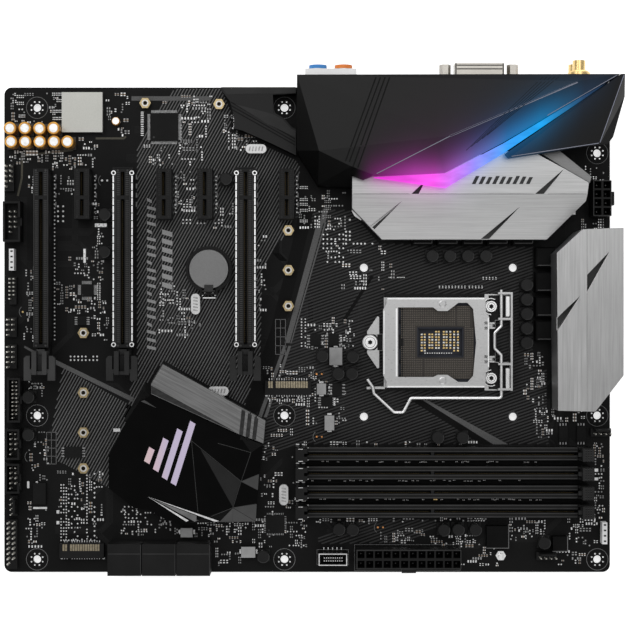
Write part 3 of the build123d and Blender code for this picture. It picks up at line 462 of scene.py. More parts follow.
M = {
    "board": board_lacquer("solder_mask"),
    "ink": printed_ink("printed_ink", 0.13, 0.19),
    "ink_bright": printed_ink("printed_ink_bright", 0.22, 0.30),
    "ink_dim": printed_ink("printed_ink_dim", 0.026, 0.038),
    "ink_steep": printed_ink("printed_ink_steep", 0.085, 0.125),
    "ink_band": printed_ink("printed_band", 0.075, 0.105),
    "ink_audio": printed_ink("audio_line", (0.055, 0.052, 0.04), (0.08, 0.075, 0.06)),
    "ink_black": printed_ink("plain_mask", 0.002, 0.0035, 0.1),
    "trace": printed_ink("masked_copper", 0.010, 0.014),
    "solder": metal("solder", 0.55, 0.95, 0.30, metallic=0.5),
    "dull_solder": metal("dull_solder", 0.16, 0.48, 0.38, scale=700.0, metallic=0.6),
    "gold": metal("gold_plate", (0.72, 0.50, 0.20), (0.92, 0.70, 0.34), 0.25, scale=700.0),
    "pale_gold": metal("pale_gold", (0.36, 0.28, 0.15), (0.56, 0.45, 0.26), 0.30, scale=700.0),
    "copper": metal("copper_pad", (0.75, 0.32, 0.10), (0.95, 0.45, 0.18), 0.35, scale=700.0),
    "steel": metal("nickel_steel", 0.47, 0.53, 0.34, (0.5, 1, 1), 1400.0, 0.006),
    "wire": metal("spring_wire", 0.74, 0.84, 0.30, (1, 0.2, 1), 500.0, 0.005),
    "tin": metal("tinned_can", 0.52, 0.64, 0.42, (1, 0.1, 1), 900.0, 0.06),
    "bead_can": metal("bead_blasted_can", (0.42, 0.42, 0.39), (0.52, 0.52, 0.49), 0.5, scale=1500.0),
    "slot": plastic("slot_plastic", 0.005, 0.008, 0.48),
    "slot_rib": plastic("slot_rib", 0.034, 0.050, 0.50),
    "latch": plastic("latch_plastic", 0.014, 0.020, 0.48),
    "latch_pale": plastic("latch_plastic_pale", 0.034, 0.046, 0.50),
    "black": plastic("black_plastic", 0.004, 0.006, 0.45),
    "deep": plastic("deep_black", 0.002, 0.003, 0.7),
    "chip": plastic("chip_epoxy", 0.005, 0.008, 0.55, 3500.0, 0.15, 0.10),
    "ferrite": plastic("ferrite", 0.003, 0.005, 0.5, 1600.0, 0.3, 0.06),
    "grey_ferrite": plastic("grey_ferrite", 0.22, 0.34, 0.55, 900.0, 0.4),
    "ceramic": plastic("ceramic", (0.16, 0.11, 0.07), (0.24, 0.17, 0.11), 0.5),
    "dark_part": plastic("resistor_body", 0.012, 0.018, 0.5),
    "can": plastic("can_sleeve", 0.008, 0.012, 0.35, 1500.0),
    # Painted highlight on one side of the black cans' rims.
    "painted_rim_highlight": plastic("painted_rim_highlight", 0.035, 0.05, 0.4),
    "gold_can": can_sleeve("gold_sleeve", (0.52, 0.24, 0.04), (0.78, 0.42, 0.10)),
    "can_top": metal("can_top", 0.84, 0.96, 0.35, scale=600.0),
    "cell": metal("cell_top", 0.17, 0.21, 0.42, (1, 1, 1), 1200.0, 0.04),
    "gloss": plastic("gloss_black", 0.0008, 0.0014, 0.14, 60.0, 0.02, 0.07),
    # Painted light on facets that catch the lamps: half lit and lit.
    "painted_half_lit_facet": plastic("painted_half_lit_facet", 0.012, 0.016, 0.3),
    "painted_lit_facet": plastic("painted_lit_facet", 0.05, 0.07, 0.35),
    "bar": brushed_bar("brushed_bar"),
    "dark_metal": metal("dark_metal", 0.03, 0.05, 0.4, scale=500.0),
    # Heatsinks: painted shade on the facet past each crease, and painted glow from the bar on the rear
    # one.
    "rear_sink": crease_shaded_aluminium("brushed_rear", 1, 55.3, (0.02, 1.0, 1.0), 0.50),
    "side_sink": crease_shaded_aluminium("brushed_side", 0, 287.2, (1.0, 0.02, 1.0), 0.0),
    "cover": cover_plastic("shroud_plastic", 0.44, 0.0095),
    "wing": cover_plastic("wing_plastic", 0.20, 0.011),
    "light": light_guide("light_guide"),
    "white": plastic("white_plastic", 0.72, 0.80, 0.45),
    "blue": plastic("blue_plastic", (0.06, 0.25, 0.62), (0.09, 0.32, 0.72), 0.4),
    "orange": plastic("orange_plastic", (0.80, 0.22, 0.05), (0.90, 0.30, 0.08), 0.4),
    "green": plastic("green_plastic", (0.10, 0.42, 0.16), (0.14, 0.50, 0.20), 0.4),
    "pink": plastic("pink_plastic", (0.75, 0.25, 0.32), (0.82, 0.32, 0.38), 0.4),
    "contact": plastic("contact_field", (0.036, 0.032, 0.029), (0.050, 0.045, 0.040), 0.5),
    "socket": plastic("socket_plastic", (0.016, 0.018, 0.024), (0.024, 0.026, 0.034), 0.5),
    "pearl": pearl("pearl_foil"),
    "tip": metal("contact_tip", (0.13, 0.115, 0.10), (0.20, 0.18, 0.155), 0.4),
    "dark_pin": metal("socket_pin", 0.04, 0.07, 0.4),
    "dark_gold": metal("slot_contact", (0.10, 0.075, 0.035), (0.16, 0.12, 0.06), 0.4),
    "edge_grey": plastic("edge_grey", 0.10, 0.15, 0.35),
    "lit_edge": plastic("lit_edge", (0.19, 0.20, 0.25), (0.26, 0.27, 0.33), 0.35),
    "bridge": metal("bridge_plate", 0.15, 0.22, 0.36, (0.05, 1, 1), 1400.0, 0.02),
    # Painted highlight along lit facet edges.
    "painted_facet_highlight": plastic("painted_facet_highlight", 0.035, 0.055, 0.35),
    "port_shell": metal("port_shell", (0.34, 0.32, 0.29), (0.48, 0.46, 0.42), 0.34),
    "bright_steel": metal("bright_steel", 0.84, 0.92, 0.38, scale=500.0, bump=0.0),
    "aged_gold": metal("aged_gold", (0.26, 0.22, 0.15), (0.42, 0.37, 0.27), 0.35),
    # Painted shade in the heatsinks' cuts; painted lines at their creases and on the bridge plate's
    # edges.
    "groove": metal("groove_shade", 0.012, 0.03, 0.5, metallic=0.3),
    "crease": metal("crease_edge", 0.16, 0.22, 0.4),
    # Painted light on the wireless cover's flat top.
    "painted_lit_tail_facet": plastic("painted_lit_tail_facet", 0.018, 0.026, 0.45),
    "shade": plastic("socket_shade", 0.004, 0.008, 0.5),
    "bright_pin": metal("bright_pin", (0.62, 0.60, 0.54), (0.92, 0.90, 0.84), 0.3, metallic=0.5),
    "mesh_grey": plastic("mesh_grey", 0.10, 0.22, 0.4, 2600.0),
    "cell_rim": metal("cell_rim", 0.16, 0.24, 0.4, scale=800.0),
}

NODE_MATERIALS = {
    "board": ["pcb"],
    "dark_metal": ["battery_clip", "cpu_backplate", "chipset_heatsink"],
    "bridge": ["heatsink_bridge"],
    "steel": ["underside_screws", "socket_frame", "load_plate"],
    "bright_steel": ["socket_screws"],
    "wire": ["socket_lever"],
    "pale_gold": ["m2_standoffs"],
    "gold": ["antenna_connectors"],
    "socket": ["socket_base"],
    "contact": ["socket_contacts"],
    "slot": ["slot_shields", "x16_slot_1", "x16_slot_2", "x16_slot_3", "x1_slots", "dimm_slot_1",
             "dimm_slot_2", "dimm_slot_3", "dimm_slot_4", "board_power_socket", "cpu_power_socket",
             "drive_ports", "m2_sockets", "boxed_headers", "fan_headers", "pin_headers",
             "front_usb_header"],
    "latch": ["dimm_latch_1", "dimm_latch_2", "dimm_latch_3", "dimm_latch_4", "card_latch_2",
              "card_latch_3"],
    "latch_pale": ["card_latch_1"],
    "rear_sink": ["vrm_heatsink_rear"],
    "side_sink": ["vrm_heatsink_side"],
    "cover": ["io_cover"],
    "wing": ["io_cover_wing", "wireless_cover"],
    "light": ["light_bar"],
    "bar": ["chipset_bar"],
    "gloss": ["chipset_cover"],
    "black": ["battery_holder"],
    "cell": ["battery"],
    "white": ["light_headers"],
    "tin": ["audio_jacks", "lan_usb_ports", "usb_ports", "crystals"],
    "port_shell": ["video_ports"],
    "bead_can": ["audio_shield"],
    "ferrite": ["power_chokes", "small_chokes"],
    "can": ["capacitors"],
    "gold_can": ["audio_capacitors"],
    "chip": ["chips"],
}


def dress_nodes():
    """Gives every CAD node its material."""
    for material, names in NODE_MATERIALS.items():
        for name in names:
            mesh = NODES[name].data
            mesh.materials.clear()
            mesh.materials.append(M[material])


# ---------------------------------------------------------------- printed artwork
def clip_to_region(outline, start, direction, length):
    """Stretches of a line that lie inside a polygon, as pairs of distances along it."""
    (sx, sy), (dx, dy) = start, direction
    crossings = []
    for (ax, ay), (bx, by) in zip(outline, outline[1:] + outline[:1]):
        ex, ey = bx - ax, by - ay
        cross = dx * ey - dy * ex
        if abs(cross) < 1e-9:
            continue
        along = ((ax - sx) * ey - (ay - sy) * ex) / cross
        share = ((ax - sx) * dy - (ay - sy) * dx) / cross
        if 0 <= share < 1 and 0 <= along <= length:
            crossings.append(along)
    crossings.sort()
    return list(zip(crossings[::2], crossings[1::2]))


COOLER_HOLES = [(218.5 + x * 37.5, 128.2 + y * 37.5) for x in (-1, 1) for y in (-1, 1)]
PRINT_FREE = [(spot, 5.6) for spot in CASE_HOLES] + [(spot, 2.7) for spot in COOLER_HOLES]


def clear_of_holes(start, direction, first, last):
    """Parts of a straight printed run that keep clear of the round holes in the board."""
    parts = [(first, last)]
    for (left, rear), radius in PRINT_FREE:
        dx, dy = left - start[0], rear - start[1]
        off = dx * direction[1] - dy * direction[0]
        if abs(off) >= radius:
            continue
        middle = dx * direction[0] + dy * direction[1]
        half = math.sqrt(radius ** 2 - off ** 2)
        before = [(a, min(b, middle - half)) for a, b in parts]
        after = [(max(a, middle + half), b) for a, b in parts]
        halves = [pair for pairs in zip(before, after) for pair in pairs]
        parts = [(a, b) for a, b in halves if b - a > 0.3]
    return parts


def stripes(pile, outline, angle, pitch, width):
    """Fills a region with parallel printed stripes at an angle above the board's long side."""
    turn = math.radians(angle)
    along = (math.cos(turn), -math.sin(turn))
    across = (math.sin(turn), math.cos(turn))
    offsets = [x * across[0] + y * across[1] for x, y in outline]
    reach = 500.0
    step = math.ceil(min(offsets) / pitch) * pitch
    while step < max(offsets):
        start = (across[0] * step - along[0] * reach, across[1] * step - along[1] * reach)
        for inner in clip_to_region(outline, start, along, 2 * reach):
            for first, last in clear_of_holes(start, along, *inner):
                middle = (first + last) / 2
                pile.slab(start[0] + along[0] * middle, start[1] + along[1] * middle,
                          last - first, width, SILK_LOW, SILK_HIGH, -angle)
        step += pitch


STEEP_UPPER = [(86.0, 0.6), (110.0, 0.6), (110.6, 4.0), (114.0, 12.0), (114.0, 22.6), (120.0, 24.0),
               (132.4, 30.0), (146.4, 36.4), (149.0, 40.0), (144.4, 70.0), (137.2, 79.6), (129.7, 93.0),
               (128.9, 136.4), (121.0, 160.0), (80.2, 137.4), (66.8, 155.4), (53.9, 183.0),
               (53.9, 200.4), (66.8, 134.0), (66.8, 31.6), (76.0, 12.0)]
STEEP_LOWER = [(29.4, 141.0), (64.6, 160.6), (60.8, 168.6), (53.2, 183.8), (53.2, 201.8), (30.0, 189.4),
               (26.4, 188.0), (26.4, 173.4), (23.6, 173.0)]
SHALLOW_MAIN = [(146.4, 61.6), (173.8, 61.6), (188.6, 78.4), (258.0, 80.2), (266.0, 80.2), (266.0, 142.0),
                (273.0, 142.0), (273.0, 160.0), (274.0, 179.4), (149.0, 179.4), (130.0, 187.0),
                (130.0, 172.0), (138.2, 150.0), (160.0, 68.0), (146.4, 66.0)]
SHALLOW_FRONT = [(156.8, 227.6), (163.0, 224.0), (180.0, 217.4), (217.4, 217.4), (217.4, 222.2),
                 (200.0, 229.0), (160.0, 229.8)]


def artwork():
    """The stripes, plain bands, grey bands and audio line printed on the board."""
    steep, shallow = Pile(), Pile()
    stripes(steep, STEEP_UPPER, 61.0, 1.42, 0.50)
    stripes(steep, STEEP_LOWER, 61.0, 1.42, 0.50)
    steep.make("printed_stripes_steep", M["ink_steep"])
    stripes(shallow, SHALLOW_MAIN, 19.0, 1.52, 0.72)
    stripes(shallow, SHALLOW_FRONT, 19.0, 1.52, 0.72)
    shallow.make("printed_stripes_shallow", M["ink_dim"])

    plain = Pile()
    for outline in ([(149.0, 60.0), (156.0, 60.0), (150.6, 82.0), (139.0, 128.0), (127.0, 166.0),
                     (120.6, 162.0), (134.0, 122.0), (144.0, 82.0)],
                    [(205.0, 157.6), (212.0, 157.0), (249.0, 179.6), (240.0, 179.6)],
                    [(184.2, 95.0), (186.0, 95.0), (171.4, 118.0), (169.4, 118.0)]):
        plain.prism(outline, SILK_LOW, SILK_HIGH + 0.01)
    plain.make("printed_plain_bands", M["ink_black"])

    bands = Pile()
    for outline in ([(157.4, 68.0), (160.6, 68.0), (143.6, 128.6), (141.0, 128.6)],
                    [(161.2, 68.0), (162.0, 68.0), (144.6, 128.6), (144.0, 128.6)],
                    [(140.4, 130.0), (142.2, 130.0), (129.6, 166.0), (127.6, 166.0)],
                    [(143.0, 130.0), (144.4, 130.0), (132.2, 166.0), (130.6, 166.0)],
                    [(25.8, 139.4), (25.8, 137.0), (65.4, 156.2), (64.4, 158.2)],
                    [(9.9, 130.9), (10.2, 129.9), (15.2, 132.6), (14.7, 133.7)],
                    [(210.6, 157.4), (213.0, 157.4), (253.6, 179.6), (246.0, 179.6)],
                    [(64.0, 4.4), (104.0, 4.4), (104.0, 6.6), (64.0, 6.6)],
                    [(160.4, 61.0), (163.0, 61.0), (161.6, 68.0), (158.8, 68.0)]):
        bands.prism(outline, SILK_LOW, SILK_HIGH + 0.02)
    bands.make("printed_grey_bands", M["ink_band"])

    audio = Pile()
    audio.line([(61.2, 24.6), (60.2, 25.6), (46.0, 25.6)], 1.0, SILK_LOW, SILK_HIGH)
    audio.line([(34.6, 31.4), (18.4, 33.4), (9.0, 34.4), (8.8, 45.6), (6.8, 54.6)], 1.0,
               SILK_LOW, SILK_HIGH)
    audio.make("audio_separation_line", M["ink_audio"])


def column_mark(pile):
    """Slanted bars printed down the board where a maker would print a name."""
    for i in range(20):
        rear = 55.6 + i * 3.9
        width = 4.4 if i % 4 else 2.4
        pile.prism([(71.8, rear), (71.8 + width, rear + 1.1), (71.8 + width, rear + 2.6),
                    (71.8, rear + 1.5)], SILK_LOW, 0.06)
    for i in range(7):
        rear = 71.4 + i * 4.4
        pile.prism([(79.4, rear), (84.6, rear + 1.5), (84.6, rear + 3.9), (79.4, rear + 2.4)],
                   SILK_LOW, 0.06)


INK_HIGH = 0.05
PAIRS_FOR_A_CAN = {(9.3, 112.9): "gold", (12.2, 185.8): "copper", (157.2, 144.2): "copper",
                   (157.2, 175.8): "copper", (188.0, 221.4): "copper", (49.2, 46.8): "solder"}


def printed_outlines():
    """Rings round holes, part outlines and small index marks."""
    ink = Pile()
    for left, rear in CASE_HOLES:
        ink.arc(left, rear, 5.4, 0.22, SILK_LOW, INK_HIGH, sides=48)
    marks = Pile()
    column_mark(marks)
    marks.make("printed_column_marks", M["ink_bright"])
    for node, margin in (("board_power_socket", 0.8), ("front_usb_header", 0.9)):
        left, right, rear, front, _, _ = measures(node)
        ink.frame_box(left - margin, right + margin, rear - margin, front + margin,
                      0.16, SILK_LOW, INK_HIGH)
    for position in SHORT_SLOTS + LONG_SLOTS:
        left = position * SLOT_PITCH
        for i in range(4):
            rear = SLOT_REAR + i * 4.6
            ink.box(left + 5.2, left + 5.9, rear + 2, rear + 4.4, SILK_LOW, INK_HIGH)
    for left, rear in PAIRS_FOR_A_CAN:
        ink.arc(left + 1.4, rear, 3.2, 0.25, SILK_LOW, INK_HIGH, 130, 230)
    for left, right, rear, front in ((21.2, 26.2, 173.4, 189.6), (136.4, 141.6, 116.6, 134.4)):
        ink.frame_box(left, right, rear, front, 0.22, SILK_LOW, INK_HIGH)
        middle = (left + right) / 2
        ink.box(middle - 0.1, middle + 0.1, rear, front, SILK_LOW, INK_HIGH)
        for i in range(1, 4):
            y = rear + (front - rear) * i / 4
            ink.box(left, right, y - 0.1, y + 0.1, SILK_LOW, INK_HIGH)
    ink.make("printed_outlines", M["ink"])


def traces(seed=11):
    """Copper runs showing faintly under the mask, in bundles with one 45 degree bend."""
    rng = random.Random(seed)
    pile = Pile()
    for _ in range(120):
        left, rear = rng.uniform(8, 290), rng.uniform(8, 232)
        run, bend = rng.uniform(8, 34), rng.uniform(4, 16)
        level = rng.random() < 0.5
        side = rng.choice((-1, 1))
        for i in range(rng.randint(3, 8)):
            shift = i * 0.62
            if level:
                points = [(left, rear + shift), (left + run, rear + shift),
                          (left + run + bend, rear + shift + side * bend)]
            else:
                points = [(left + shift, rear), (left + shift, rear + run),
                          (left + shift + side * bend, rear + run + bend)]
            middle = ((points[0][0] + points[1][0]) / 2, (points[0][1] + points[1][1]) / 2)
            away = all(math.dist(spot, hole) > radius + run / 4 + 2
                       for spot in points + [middle] for hole, radius in PRINT_FREE)
            if away and all(3 < x < BOARD_LENGTH - 3 and 3 < y < BOARD_DEPTH - 3 for x, y in points):
                pile.line(points, 0.24, SILK_LOW, 0.012)
    pile.make("masked_traces", M["trace"])


# ---------------------------------------------------------------- where small parts may go
NODES_OF_MANY = ("x1_slots", "capacitors", "audio_capacitors", "crystals", "chips", "m2_standoffs",
                 "boxed_headers", "pin_headers", "fan_headers", "light_headers", "power_chokes",
                 "small_chokes", "m2_sockets")
OFF_THE_BOARD = ("pcb", "cpu_backplate", "underside_screws", "io_cover", "io_cover_wing", "light_bar",
                 "wireless_cover", "socket_lever", "slot_shields", "chipset_cover", "chipset_bar",
                 "chipset_heatsink")


def footprints():
    """Plan boxes of the CAD parts, which small parts keep clear of."""
    boxes = [measures(name)[:4] for name in NODES if name not in NODES_OF_MANY + OFF_THE_BOARD]
    for name in NODES_OF_MANY:
        boxes += loose_boxes(name)
    boxes += [(left - r, left + r, rear - r, rear + r) for (left, rear), r in PRINT_FREE]
    return boxes


def loose_boxes(name):
    """Plan boxes of the separate solids in one CAD node."""
    mesh = NODES[name].data
    parent = list(range(len(mesh.vertices)))

    def root(i):
        while parent[i] != i:
            parent[i] = parent[parent[i]]
            i = parent[i]
        return i

    spots = {}
    for v in mesh.vertices:
        key = tuple(round(c * 1e6) for c in v.co)
        parent[v.index] = spots.setdefault(key, v.index)
    for edge in mesh.edges:
        a, b = root(edge.vertices[0]), root(edge.vertices[1])
        parent[a] = b
    groups = {}
    for v in mesh.vertices:
        groups.setdefault(root(v.index), []).append(v.co)
    boxes = []
    for points in groups.values():
        xs = [(p.x - LEFT_EDGE) / MM for p in points]
        ys = [(REAR_EDGE - p.y) / MM for p in points]
        boxes.append((min(xs), max(xs), min(ys), max(ys)))
    return boxes


def middles(name):
    """Plan centres of the separate solids in one CAD node."""
    return [((left + right) / 2, (rear + front) / 2) for left, right, rear, front in loose_boxes(name)]


CHIPSET_AREA = [(80.7, 138.7), (131.8, 166.8), (130.5, 178.6), (127.2, 217.3), (93.8, 217.8),
                (66.7, 210.6), (53.9, 200.7), (53.9, 184.1), (69.4, 157.0)]


def inside(outline, left, rear):
    """Whether a point of the board lies within a plan outline."""
    hit = False
    for (ax, ay), (bx, by) in zip(outline, outline[1:] + outline[:1]):
        if (ay > rear) != (by > rear) and left < (bx - ax) * (rear - ay) / (by - ay) + ax:
            hit = not hit
    return hit


class Floor:
    """Remembers what is taken on the board, so that small parts don't overlap."""

    CELL = 10
    EDGE = 1.2

    def __init__(self):
        self.cells = {}
        for box in footprints():
            self.take(*box)

    def keys(self, left, right, rear, front):
        for i in range(int(left // self.CELL), int(right // self.CELL) + 1):
            for j in range(int(rear // self.CELL), int(front // self.CELL) + 1):
                yield i, j

    def take(self, left, right, rear, front):
        for key in self.keys(left, right, rear, front):
            self.cells.setdefault(key, []).append((left, right, rear, front))

    def free(self, left, right, rear, front):
        if left < self.EDGE or right > BOARD_LENGTH - self.EDGE:
            return False
        if rear < self.EDGE or front > BOARD_DEPTH - self.EDGE:
            return False
        if inside(CHIPSET_AREA, (left + right) / 2, (rear + front) / 2):
            return False
        for key in self.keys(left, right, rear, front):
            for a, b, c, d in self.cells.get(key, ()):
                if left < b and right > a and rear < d and front > c:
                    return False
        return True

    def claim(self, left, rear, width, depth, margin=0.0):
        """Takes a place, given by its centre and size, if it and a margin round it are free."""
        across, along = width / 2, depth / 2
        if not self.free(left - across - margin, left + across + margin,
                         rear - along - margin, rear + along + margin):
            return False
        self.take(left - across, left + across, rear - along, rear + along)
        return True


class SmallParts:
    """Piles for everything that is too small to be a part of its own."""

    def __init__(self):
        self.floor = Floor()
        names = ("solder", "dull_solder", "gold", "copper", "dark_part", "ceramic", "chip")
        self.piles = {name: Pile() for name in names}

    def two_ended(self, left, rear, length, width, upright, body="ceramic", height=0.55, ends="solder"):
        """A chip resistor or capacitor: a body between two bright ends."""
        long, wide = (width, length) if upright else (length, width)
        if not self.floor.claim(left, rear, long, wide, 0.1):
            return
        end = length * 0.31
        for side in (-1, 1):
            shift = side * (length - end) / 2
            x, y = (left, rear + shift) if upright else (left + shift, rear)
            w, d = (width, end) if upright else (end, width)
            self.piles[ends].slab(x, y, w, d, 0.0, height * 0.9)
        middle = length - 2 * end
        w, d = (width * 0.96, middle) if upright else (middle, width * 0.96)
        self.piles[body].slab(left, rear, w, d, 0.05, height)

    def dot(self, left, rear, radius, metal_name="solder"):
        if self.floor.claim(left, rear, 2 * radius, 2 * radius):
            self.piles[metal_name].disc(left, rear, radius, 0.0, 0.22, 10, 0.72)

    def pad(self, left, rear, width, depth, metal_name="solder"):
        if self.floor.claim(left, rear, width, depth):
            self.piles[metal_name].slab(left, rear, width, depth, 0.0, 0.1)

    def small_chip(self, left, rear, width, depth, legs, pitch, upright=True, height=1.0):
        """A small gull-wing package with legs on two sides."""
        across, along = (width, depth) if upright else (depth, width)
        if not self.floor.free(left - across / 2 - 1, left + across / 2 + 1,
                               rear - along / 2 - 0.4, rear + along / 2 + 0.4):
            return
        self.floor.take(left - across / 2 - 1, left + across / 2 + 1, rear - along / 2, rear + along / 2)
        self.piles["chip"].slab(left, rear, across, along, 0.1, height)
        for i in range(legs):
            shift = (i - (legs - 1) / 2) * pitch
            for side in (-1, 1):
                self.piles["solder"].slab(left + side * (across / 2 + 0.35), rear + shift, 0.8,
                                          pitch * 0.5, 0.0, 0.18)

    def cluster(self, left, right, rear, front, count, seed, mix=(0.5, 0.3, 0.2)):
        """Parts scattered on a half-millimetre grid: two-ended parts, solder dots and pads."""
        rng = random.Random(seed)
        for _ in range(max(3, round(count * 0.30))):
            x = round(rng.uniform(left, right) * 2) / 2
            y = round(rng.uniform(rear, front) * 2) / 2
            draw = rng.random()
            along_x = rng.random() < 0.5
            size = rng.choice(((1.3, 0.65), (1.3, 0.65), (1.7, 0.9)))
            body = rng.choice(("ceramic", "dark_part", "dark_part"))
            ends = "solder" if rng.random() < 0.5 else "dull_solder"
            step = size[1] + 0.65
            for i in range(rng.randint(1, 5)):
                px, py = (x + i * step, y) if along_x else (x, y + i * step)
                if px > right or py > front:
                    break
                if draw < mix[0]:
                    self.two_ended(px, py, *size, along_x, body, ends=ends)
                elif draw < mix[0] + mix[1]:
                    self.dot(px, py, 0.44, ends)
                else:
                    self.pad(px, py, 0.7, 1.2 if along_x else 0.7, ends)

    def grid(self, left, rear, columns, rows, step_x, step_y, radius, shown=1.0, seed=1):
        """Solder points on a grid, of which only a share is shown."""
        rng = random.Random(seed)
        for i in range(columns):
            for j in range(rows):
                if rng.random() < shown:
                    self.dot(left + i * step_x, rear + j * step_y, radius)

    def row_of_parts(self, left, rear, count, step, upright=True, along_x=True, body="dark_part",
                     length=1.6, width=0.8):
        for i in range(count):
            x, y = (left + i * step, rear) if along_x else (left, rear + i * step)
            self.two_ended(x, y, length, width, upright, body)

    def make(self):
        for name, pile in self.piles.items():
            if pile.points:
                pile.make(f"small_parts_{name}", M[name])


MOSTLY_PARTS, MOSTLY_DOTS = (0.8, 0.1, 0.1), (0.3, 0.5, 0.2)


def small_parts():
    """Every small part of the component side, in the order in which the places are taken."""
    s = SmallParts()
    # test pads and bright strips
    for values in ((18.0, 211.6, 7.0, 1.0), (282.6, 190.0, 7.0, 1.0), (278.0, 229.6, 6.0, 0.8),
                   (48.6, 69.3, 6.0, 1.8), (40.4, 84.7, 1.2, 7.0), (40.4, 84.0, 6.0, 0.8),
                   (27.0, 213.6, 1.4, 1.6), (27.0, 219.0, 1.4, 1.6), (298.0, 192.6, 1.8, 1.6),
                   (298.0, 197.0, 1.8, 1.4), (56.6, 172.4, 3.4, 1.6)):
        s.pad(*values)
    # audio corner: fine rows of film resistors round the gold capacitors
    for values in ((6.6, 4.6, 8, 1.0), (6.6, 8.0, 6, 1.0), (24.4, 3.4, 6, 0.9), (26.6, 6.6, 4, 1.0),
                   (7.6, 14.4, 7, 0.9), (24.6, 12.0, 6, 0.8), (24.6, 15.6, 6, 0.8)):
        s.row_of_parts(*values, True, True, "dark_part", 1.4, 0.5)
    s.cluster(3.0, 27.0, 3.0, 18.0, 130, 21, (0.6, 0.2, 0.2))
    s.row_of_parts(11.6, 33.0, 4, 1.6, True, True, "ceramic", 2.4, 1.1)
    for values in ((4.0, 30.0, 32.0, 38.0, 60, 22), (3.0, 10.0, 30.0, 37.0, 30, 23),
                   (51.5, 63.0, 3.0, 24.0, 70, 24), (36.0, 47.0, 25.0, 31.0, 40, 25)):
        s.cluster(*values)
    # by the expansion slots: clock and hub parts
    for values in ((24.0, 36.0, 33.0, 41.0, 70, 26, MOSTLY_DOTS),
                   (26.0, 35.0, 36.0, 54.0, 50, 27, MOSTLY_DOTS), (36.0, 46.0, 33.0, 41.0, 30, 28)):
        s.cluster(*values)
    s.grid(27.0, 59.8, 2, 4, 2.6, 2.5, 0.55)
    for values in ((34.0, 48.0, 58.0, 66.0, 70, 29), (45.0, 50.0, 68.0, 96.0, 60, 30),
                   (33.0, 50.0, 84.0, 97.0, 70, 31), (26.0, 36.0, 98.0, 114.0, 60, 32),
                   (34.0, 51.0, 106.0, 114.0, 70, 33)):
        s.cluster(*values)
    s.row_of_parts(47.6, 98.6, 12, 0.9, False, False, "dark_part", 1.6, 0.5)
    s.cluster(44.0, 52.0, 114.0, 128.0, 50, 34)
    s.grid(33.4, 135.4, 8, 2, 1.9, 1.8, 0.5, 0.85, 3)
    # upper middle, round the large package and behind the short slots
    for i in range(14):
        s.pad(69.4, 12.4 + i * 0.9, 1.4, 0.35)
    for values in ((88.0, 104.0, 6.0, 31.0, 90, 35, (0.5, 0.3, 0.2)),
                   (68.0, 100.0, 29.0, 39.0, 70, 36, (0.4, 0.4, 0.2)), (78.0, 104.0, 4.0, 10.0, 60, 37),
                   (110.0, 118.0, 12.0, 32.0, 70, 38), (114.0, 127.0, 22.0, 32.0, 40, 39),
                   (86.0, 96.0, 42.0, 62.0, 90, 40, MOSTLY_DOTS)):
        s.cluster(*values)
    s.grid(90.0, 66.6, 12, 2, 1.8, 1.7, 0.45, 0.75, 4)
    s.cluster(104.0, 118.0, 58.0, 72.0, 40, 41)
    # between the chipset bar and the third slot
    for values in ((78.0, 86.0, 98.0, 124.0, 90, 42, (0.25, 0.6, 0.15)),
                   (86.0, 100.0, 102.0, 126.0, 90, 43)):
        s.cluster(*values)
    for values in ((93.6, 119.2, 3.6, 4.8, 4, 1.27), (94.4, 107.2, 3.8, 3.8, 5, 0.65)):
        s.small_chip(*values)
    # left edge rows
    for values in ((12.0, 16.6, 44.0, 56.0, 40, 44), (10.0, 15.6, 80.0, 128.0, 90, 45),
                   (10.0, 20.0, 145.0, 158.0, 60, 46), (12.0, 22.0, 166.0, 198.0, 110, 47),
                   (11.0, 21.0, 208.0, 232.0, 80, 48)):
        s.cluster(*values)
    # lower left: dense fields of solder points round the left card socket
    for values in ((28.6, 200.0, 3, 20, 1.3, 1.55, 0.42, 0.85, 5),
                   (32.4, 200.6, 4, 14, 1.5, 2.1, 0.45, 0.55, 6),
                   (41.6, 193.6, 1, 22, 1.5, 1.6, 0.45, 0.9, 7),
                   (45.4, 194.4, 1, 16, 1.5, 2.4, 0.52, 0.9, 8)):
        s.grid(*values)
    s.cluster(27.0, 50.0, 193.0, 228.0, 160, 49, (0.5, 0.35, 0.15))
    for i in range(13):
        s.pad(31.0 + i * 1.25, 227.7, 0.55, 1.0)
    # in front of the chipset group
    s.grid(60.6, 211.0, 5, 5, 2.0, 1.9, 0.45, 0.7, 9)
    for values in ((58.0, 84.0, 210.0, 225.0, 160, 50, (0.35, 0.5, 0.15)),
                   (84.0, 112.0, 218.0, 226.0, 90, 51), (106.0, 120.0, 216.0, 240.0, 110, 52),
                   (118.0, 136.0, 208.0, 232.0, 110, 53), (118.0, 132.0, 180.0, 206.0, 80, 54),
                   (130.0, 146.0, 172.0, 206.0, 60, 55), (141.0, 152.0, 206.0, 232.0, 110, 56)):
        s.cluster(*values)
